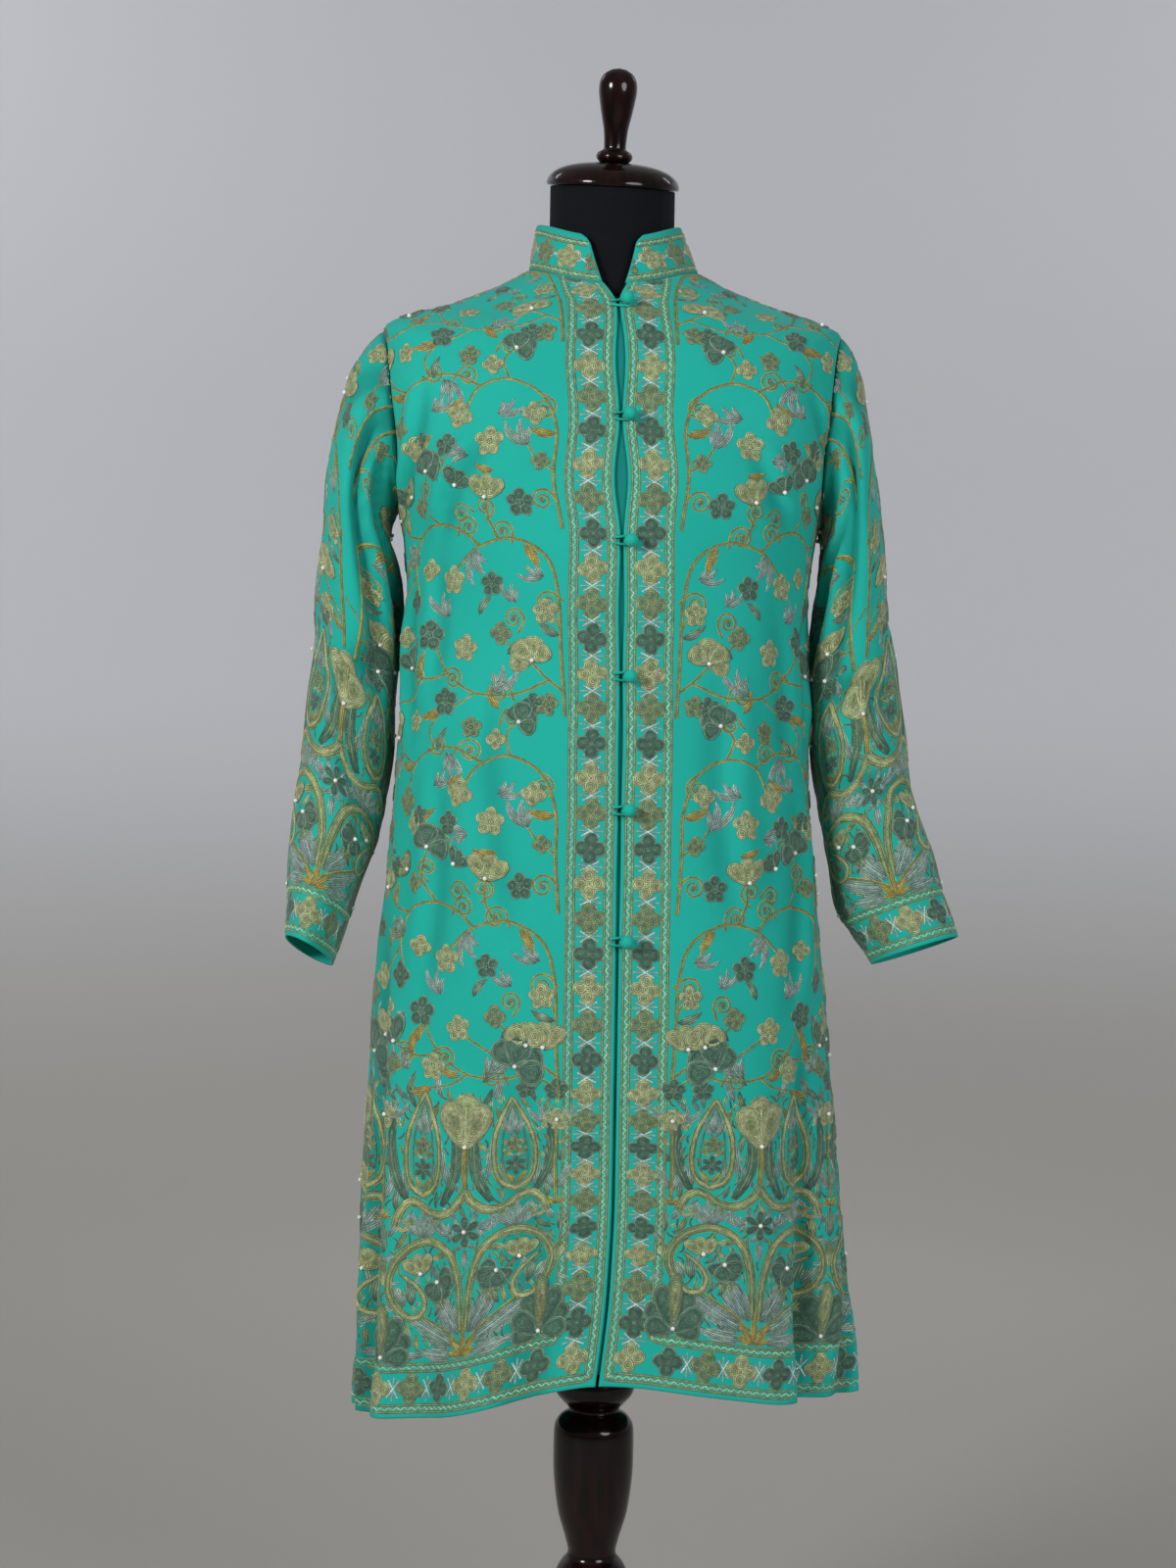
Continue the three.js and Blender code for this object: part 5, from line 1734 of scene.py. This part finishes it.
def bottom_leaves(needle, spot):
    """Pale leaves that spread from the calyx under one arch."""
    for x, y, turn, length, width in ((5, 22, -34, 52, 24), (8, 14, -64, 56, 22), (10, 6, -83, 40, 14)):
        place = spot.inner(x, y, turn)
        leaf(needle, place, length, width, "grey", 1.5, 0.7)
        for lean in (-0.22, 0.0, 0.22):
            rib = place.at([(0.6, 8), (1.5 + lean * width, length * 0.5), (1.0, length * 0.88)])
            needle.line(smooth(rib, 6), 1.4, GREY_SHADE if lean else FROST, 1, 1.0)
    vine(needle, spot, [(4, 14), (24, 28), (52, 42)], 3.4, 2.6, OCHRE)
    leaf(needle, spot.inner(34, 40, 40), 14, 6, "dark")
    leaf(needle, spot.inner(48, 6, -88), 22, 8, "grey")


def dark_cluster(needle, spot):
    """Dark lobes around a pearl, on the band between two calyxes."""
    for k, (turn, length) in enumerate(((-78, 25), (-48, 33), (-20, 42), (20, 42), (48, 33), (78, 25))):
        petal(needle, spot.inner(0, 0, turn), length, 21, FLOWER_TINTS["dark"], 0.8, 16, 0.5 * (k % 2))
    petal(needle, spot, 50, 15, FLOWER_TINTS["mixed"], 0.8, 16, 0.9)
    needle.pearl(spot.at((0, 3)))


def stalk(needle, spot):
    """A small flower on a straight stem, between two buds."""
    calyx(needle, spot.inner(0, 126), 15)
    needle.line(spot.at(smooth([(0, 134), (1, 170), (0, 206)])), 4.2, OCHRE, 2, 0.9, VINE_SHADE)
    rosette(needle, spot.inner(0, 216), 25, "khaki", 5)
    needle.pearl(spot.at((0, 216)))
    rows = [(2, 142, -22, 28, 10, "grey"), (2, 172, -30, 20, 8, "dark"), (2, 190, -40, 15, 6, "khaki")]
    for side in (-1, 1):
        feather(needle, spot.inner(side * 4, 214, -side * 34), 27, side)
        leaves(needle, spot, rows, side)


# Small leaves that fill half of a deep border's repeat: across, up, turn in degrees, length, width, kind
FILLING = [
    (14, 62, -20, 27, 11, "dark"), (23, 58, 12, 21, 9, "grey"), (37, 90, 82, 17, 8, "khaki"),
    (62, 90, -60, 17, 8, "dark"), (70, 66, 172, 20, 8, "khaki"), (40, 28, -48, 21, 9, "dark"),
    (30, 6, -75, 26, 8, "dark"), (60, 20, -20, 22, 9, "khaki"), (66, 5, -66, 18, 7, "grey"),
    (84, 96, 0, 28, 12, "dark"), (84, 68, 0, 25, 10, "khaki"), (78, 110, 40, 19, 8, "grey"),
    (8, 128, -60, 17, 7, "grey"), (30, 117, -30, 17, 7, "khaki"), (62, 115, 40, 17, 7, "khaki"),
    (72, 134, 10, 26, 8, "dark"), (19, 158, -6, 42, 8, "grey"), (34, 206, 20, 26, 8, "khaki"),
    (66, 206, -20, 28, 8, "khaki"), (33, 148, 4, 32, 8, "dark"), (60, 148, -4, 32, 8, "grey"),
    (25, 236, -12, 24, 9, "grey"), (60, 236, 22, 22, 8, "dark"), (76, 160, 4, 30, 8, "khaki"),
    (12, 76, 4, 24, 8, "khaki"), (21, 30, -8, 20, 8, "grey"), (54, 62, 10, 16, 7, "grey"),
]


def border_zone(needle, spot):
    """A repeat of the deep border above the hem band, with the tulip in its middle."""
    for side in (-1, 1):
        bottom_leaves(needle, spot.inner(0, 0, mirror=side))
    calyx(needle, spot.inner(0, 3), 28)
    needle.line(spot.at(smooth([(0, 152), (0.6, 172), (0, 194)])), 6.5, OCHRE, 2, 1.0, VINE_SHADE)
    for turn, length, width, base in ((0, 54, 32, 0.0), (21, 47, 29, 0.5), (-21, 49, 29, 0.5)):
        petal(needle, spot.inner(0, 188, turn), length, width, FLOWER_TINTS["khaki"], 0.8, 20, base)
    for turn in (-10, 0, 10):
        rib = spot.inner(0, 188, turn).at([(0, 6), (0, 18), (0, 34 + 6 * (turn == 0))])
        needle.line(rib, 1.5, KHAKI_EDGE, 1, 1.7)
    needle.pearl(spot.at((0, 191)))
    daisy(needle, spot.inner(0, 112), 31, "dark")
    leaf(needle, spot.inner(0, 96, 180), 20, 8, "grey")
    for side in (-1, 1):
        half = spot.inner(0, 0, mirror=side)
        leaves(needle, half, FILLING, 1, 0.8, 0.5)
        arch(needle, half)
        garland(needle, half)
        tall_bud(needle, half.inner(45, 147, 3))
        crescent(needle, half.inner(24, 138, 10), 72, 13, -9)
        crescent(needle, half.inner(16, 146, 6), 44, 8, -5)
        crescent(needle, half.inner(62, 144, -8), 70, 13, 8)
        feather(needle, half.inner(13, 112, -50), 21)
        leaf(needle, half.inner(7, 150, -26), 24, 8, "grey")
        for turn in (-52, -26, 0, 26, 52):
            leaf(needle, half.inner(46, 109, turn), 27, 9, "grey")


# Flowers just above a deep border, with the same columns as the sprays
ABOVE_BORDER = [
    ("shell", "dark", -42, 266, 30, 30), ("five", "khaki", 34, 262, 0, 25),
    ("five", "dark", -78, 248, 0, 22), ("tulip", "khaki", -66, 282, 5, 24),
    ("feather", 1, 60, 258, -20, 28), ("leaf", "ochre", 8, 256, -60, 21),
    ("leaf", "ochre", 52, 282, 30, 20), ("four", "mixed", 78, 262, 0, 20),
    ("leaf", "dark", -14, 252, 60, 20),
]


def deep_border(needle, middles, scale=1.0, foot=46):
    """The border's repeats with a stalk and a dark cluster between each two."""
    for middle in middles:
        spot = Spot((middle, foot)).inner(0, 0, size=scale)
        border_zone(needle, spot)
        stalk(needle, spot.inner(REPEAT / 2, 0))
        dark_cluster(needle, spot.inner(REPEAT / 2, 3))
        vine(needle, spot, [(-42, 266), (-56, 262), (-78, 250)], 2.6, 2.2)
        vine(needle, spot, [(-42, 266), (-22, 276), (6, 292)], 3.0, 2.4)
        flowers(needle, spot, ABOVE_BORDER)


def field(needle, across, foot, repeats, mirror=1, scale=1.0):
    """A column of sprays, one above the other."""
    for k in range(repeats):
        spray(needle, Spot((across, foot + k * FIELD_TALL * scale)).inner(0, 0, 0, scale, mirror))


def stitch_front(panel):
    """A front's strip along the opening, its hem band, deep border and vines."""
    needle = Needle(panel)
    top = panel.up[-1].max() + 4
    reach = np.abs(panel.across[:, -1]).max()
    for across, low in ((STRIP["edge"], BAND["edge"]), (STRIP["outer"], BAND["inner"])):
        border(needle, [(across, top), (across, low), (reach, low)])
    heights = np.arange(BAND["flowers"], top, STRIP_PITCH)
    flower_row(needle, [(STRIP["flowers"], up, 0) for up in heights], FLOWER)
    band = np.arange(STRIP["flowers"] + BAND_PITCH, reach, BAND_PITCH)
    flower_row(needle, [(across, BAND["flowers"], 90) for across in band], FLOWER, 1)
    deep_border(needle, [TULIP_ACROSS, TULIP_ACROSS + REPEAT])
    start = STRIP["outer"] + 5
    stalk(needle, Spot((TULIP_ACROSS - REPEAT / 2 + 5, 46)))
    dark_cluster(needle, Spot((TULIP_ACROSS - REPEAT / 2 + 13, 50)))
    needle.fill(BAND["inner"] + 4, FILLED_TO["front"], STRIP["outer"] + 4)
    field(needle, start, FIELD_FOOT, 3)
    field(needle, start + SECOND_COLUMN, FIELD_FOOT - 140, 3)
    needle.finish()


def edge_band(needle, flowers_each_side, pitch):
    """A row of flowers between two borders, all along a lower edge."""
    reach = np.abs(needle.panel.across).max()
    for up in (BAND["edge"], BAND["inner"]):
        border(needle, [(-reach, up), (reach, up)])
    places = np.arange(-flowers_each_side, flowers_each_side + 1) * pitch
    flower_row(needle, [(across, BAND["flowers"], 90) for across in places], FLOWER)


def stitch_back(panel):
    needle = Needle(panel)
    edge_band(needle, 9, BAND_PITCH)
    deep_border(needle, [-REPEAT, 0, REPEAT])
    needle.fill(BAND["inner"] + 4, FILLED_TO["back"], -1000)
    for mirror in (-1, 1):
        field(needle, 2 * mirror, FIELD_FOOT, 3, mirror)
        field(needle, SECOND_COLUMN * mirror, FIELD_FOOT - 120, 3, mirror)
    needle.finish()


def stitch_sleeve(panel):
    needle = Needle(panel)
    edge_band(needle, 6, STRIP_PITCH)
    repeat = REPEAT * SLEEVE_BORDER
    deep_border(needle, [-repeat, 0, repeat], SLEEVE_BORDER)
    needle.fill(BAND["inner"] + 4, FILLED_TO["sleeve"], -1000)
    for mirror in (-1, 1):
        field(needle, 4 * mirror, FIELD_FOOT_SLEEVE, 2, mirror, 0.95)
    needle.finish()


def stitch_collar(panel):
    needle = Needle(panel)
    reach = np.abs(panel.across).max()
    for up in (4.6, COLLAR_HEIGHT - 3.9):
        border(needle, [(-reach, up), (reach, up)], 2.2, 0.9, 5.0)
    for k, across in enumerate(np.arange(-7, 8) * COLLAR_PITCH):
        spot = Spot((across, COLLAR_HEIGHT / 2)).inner(0, 0, rng.normal(0, 5))
        rosette(needle, spot, COLLAR_FLOWER, "khaki" if k % 2 else "mixed", 5)
        cross(needle, Spot((across + COLLAR_PITCH / 2, COLLAR_HEIGHT / 2)), 5.5)
    needle.finish()


# The jacket

def lay_cloth(piece, name, cut):
    """Settles a cloth piece; the flat size, cut, is not used."""
    settle(piece, name)


def build():
    form_piece()
    stand_pieces()
    body_panels = [front_panel(-1), front_panel(1), back_panel()]
    arms = [sleeve_panel(-1), sleeve_panel(1)]
    collar = collar_panel()
    body_cloths = ["front_right_cloth", "front_left_cloth", "back_cloth"]
    for panel in body_panels:
        piece = panel.make(MATERIALS["wool"], CLOTH)
        lay_cloth(piece, panel.name, panel.cut)
    for panel, front in zip(arms, body_cloths):
        piece = panel.make(MATERIALS["wool"], CLOTH, True)
        lay_cloth(piece, panel.name, panel.cut)
    piece = collar.make(MATERIALS["wool"], COLLAR_CLOTH)
    lay_cloth(piece, "collar", collar.cut)
    strip, outer = underlap_piece()
    lay_cloth(strip, "underlap", flat_cut(outer))
    button_pieces()
    for panel in body_panels[:2]:
        stitch_front(panel)
    stitch_back(body_panels[2])
    for panel in arms:
        stitch_sleeve(panel)
    stitch_collar(collar)


build()
stage_room()
light_room()
make_camera()
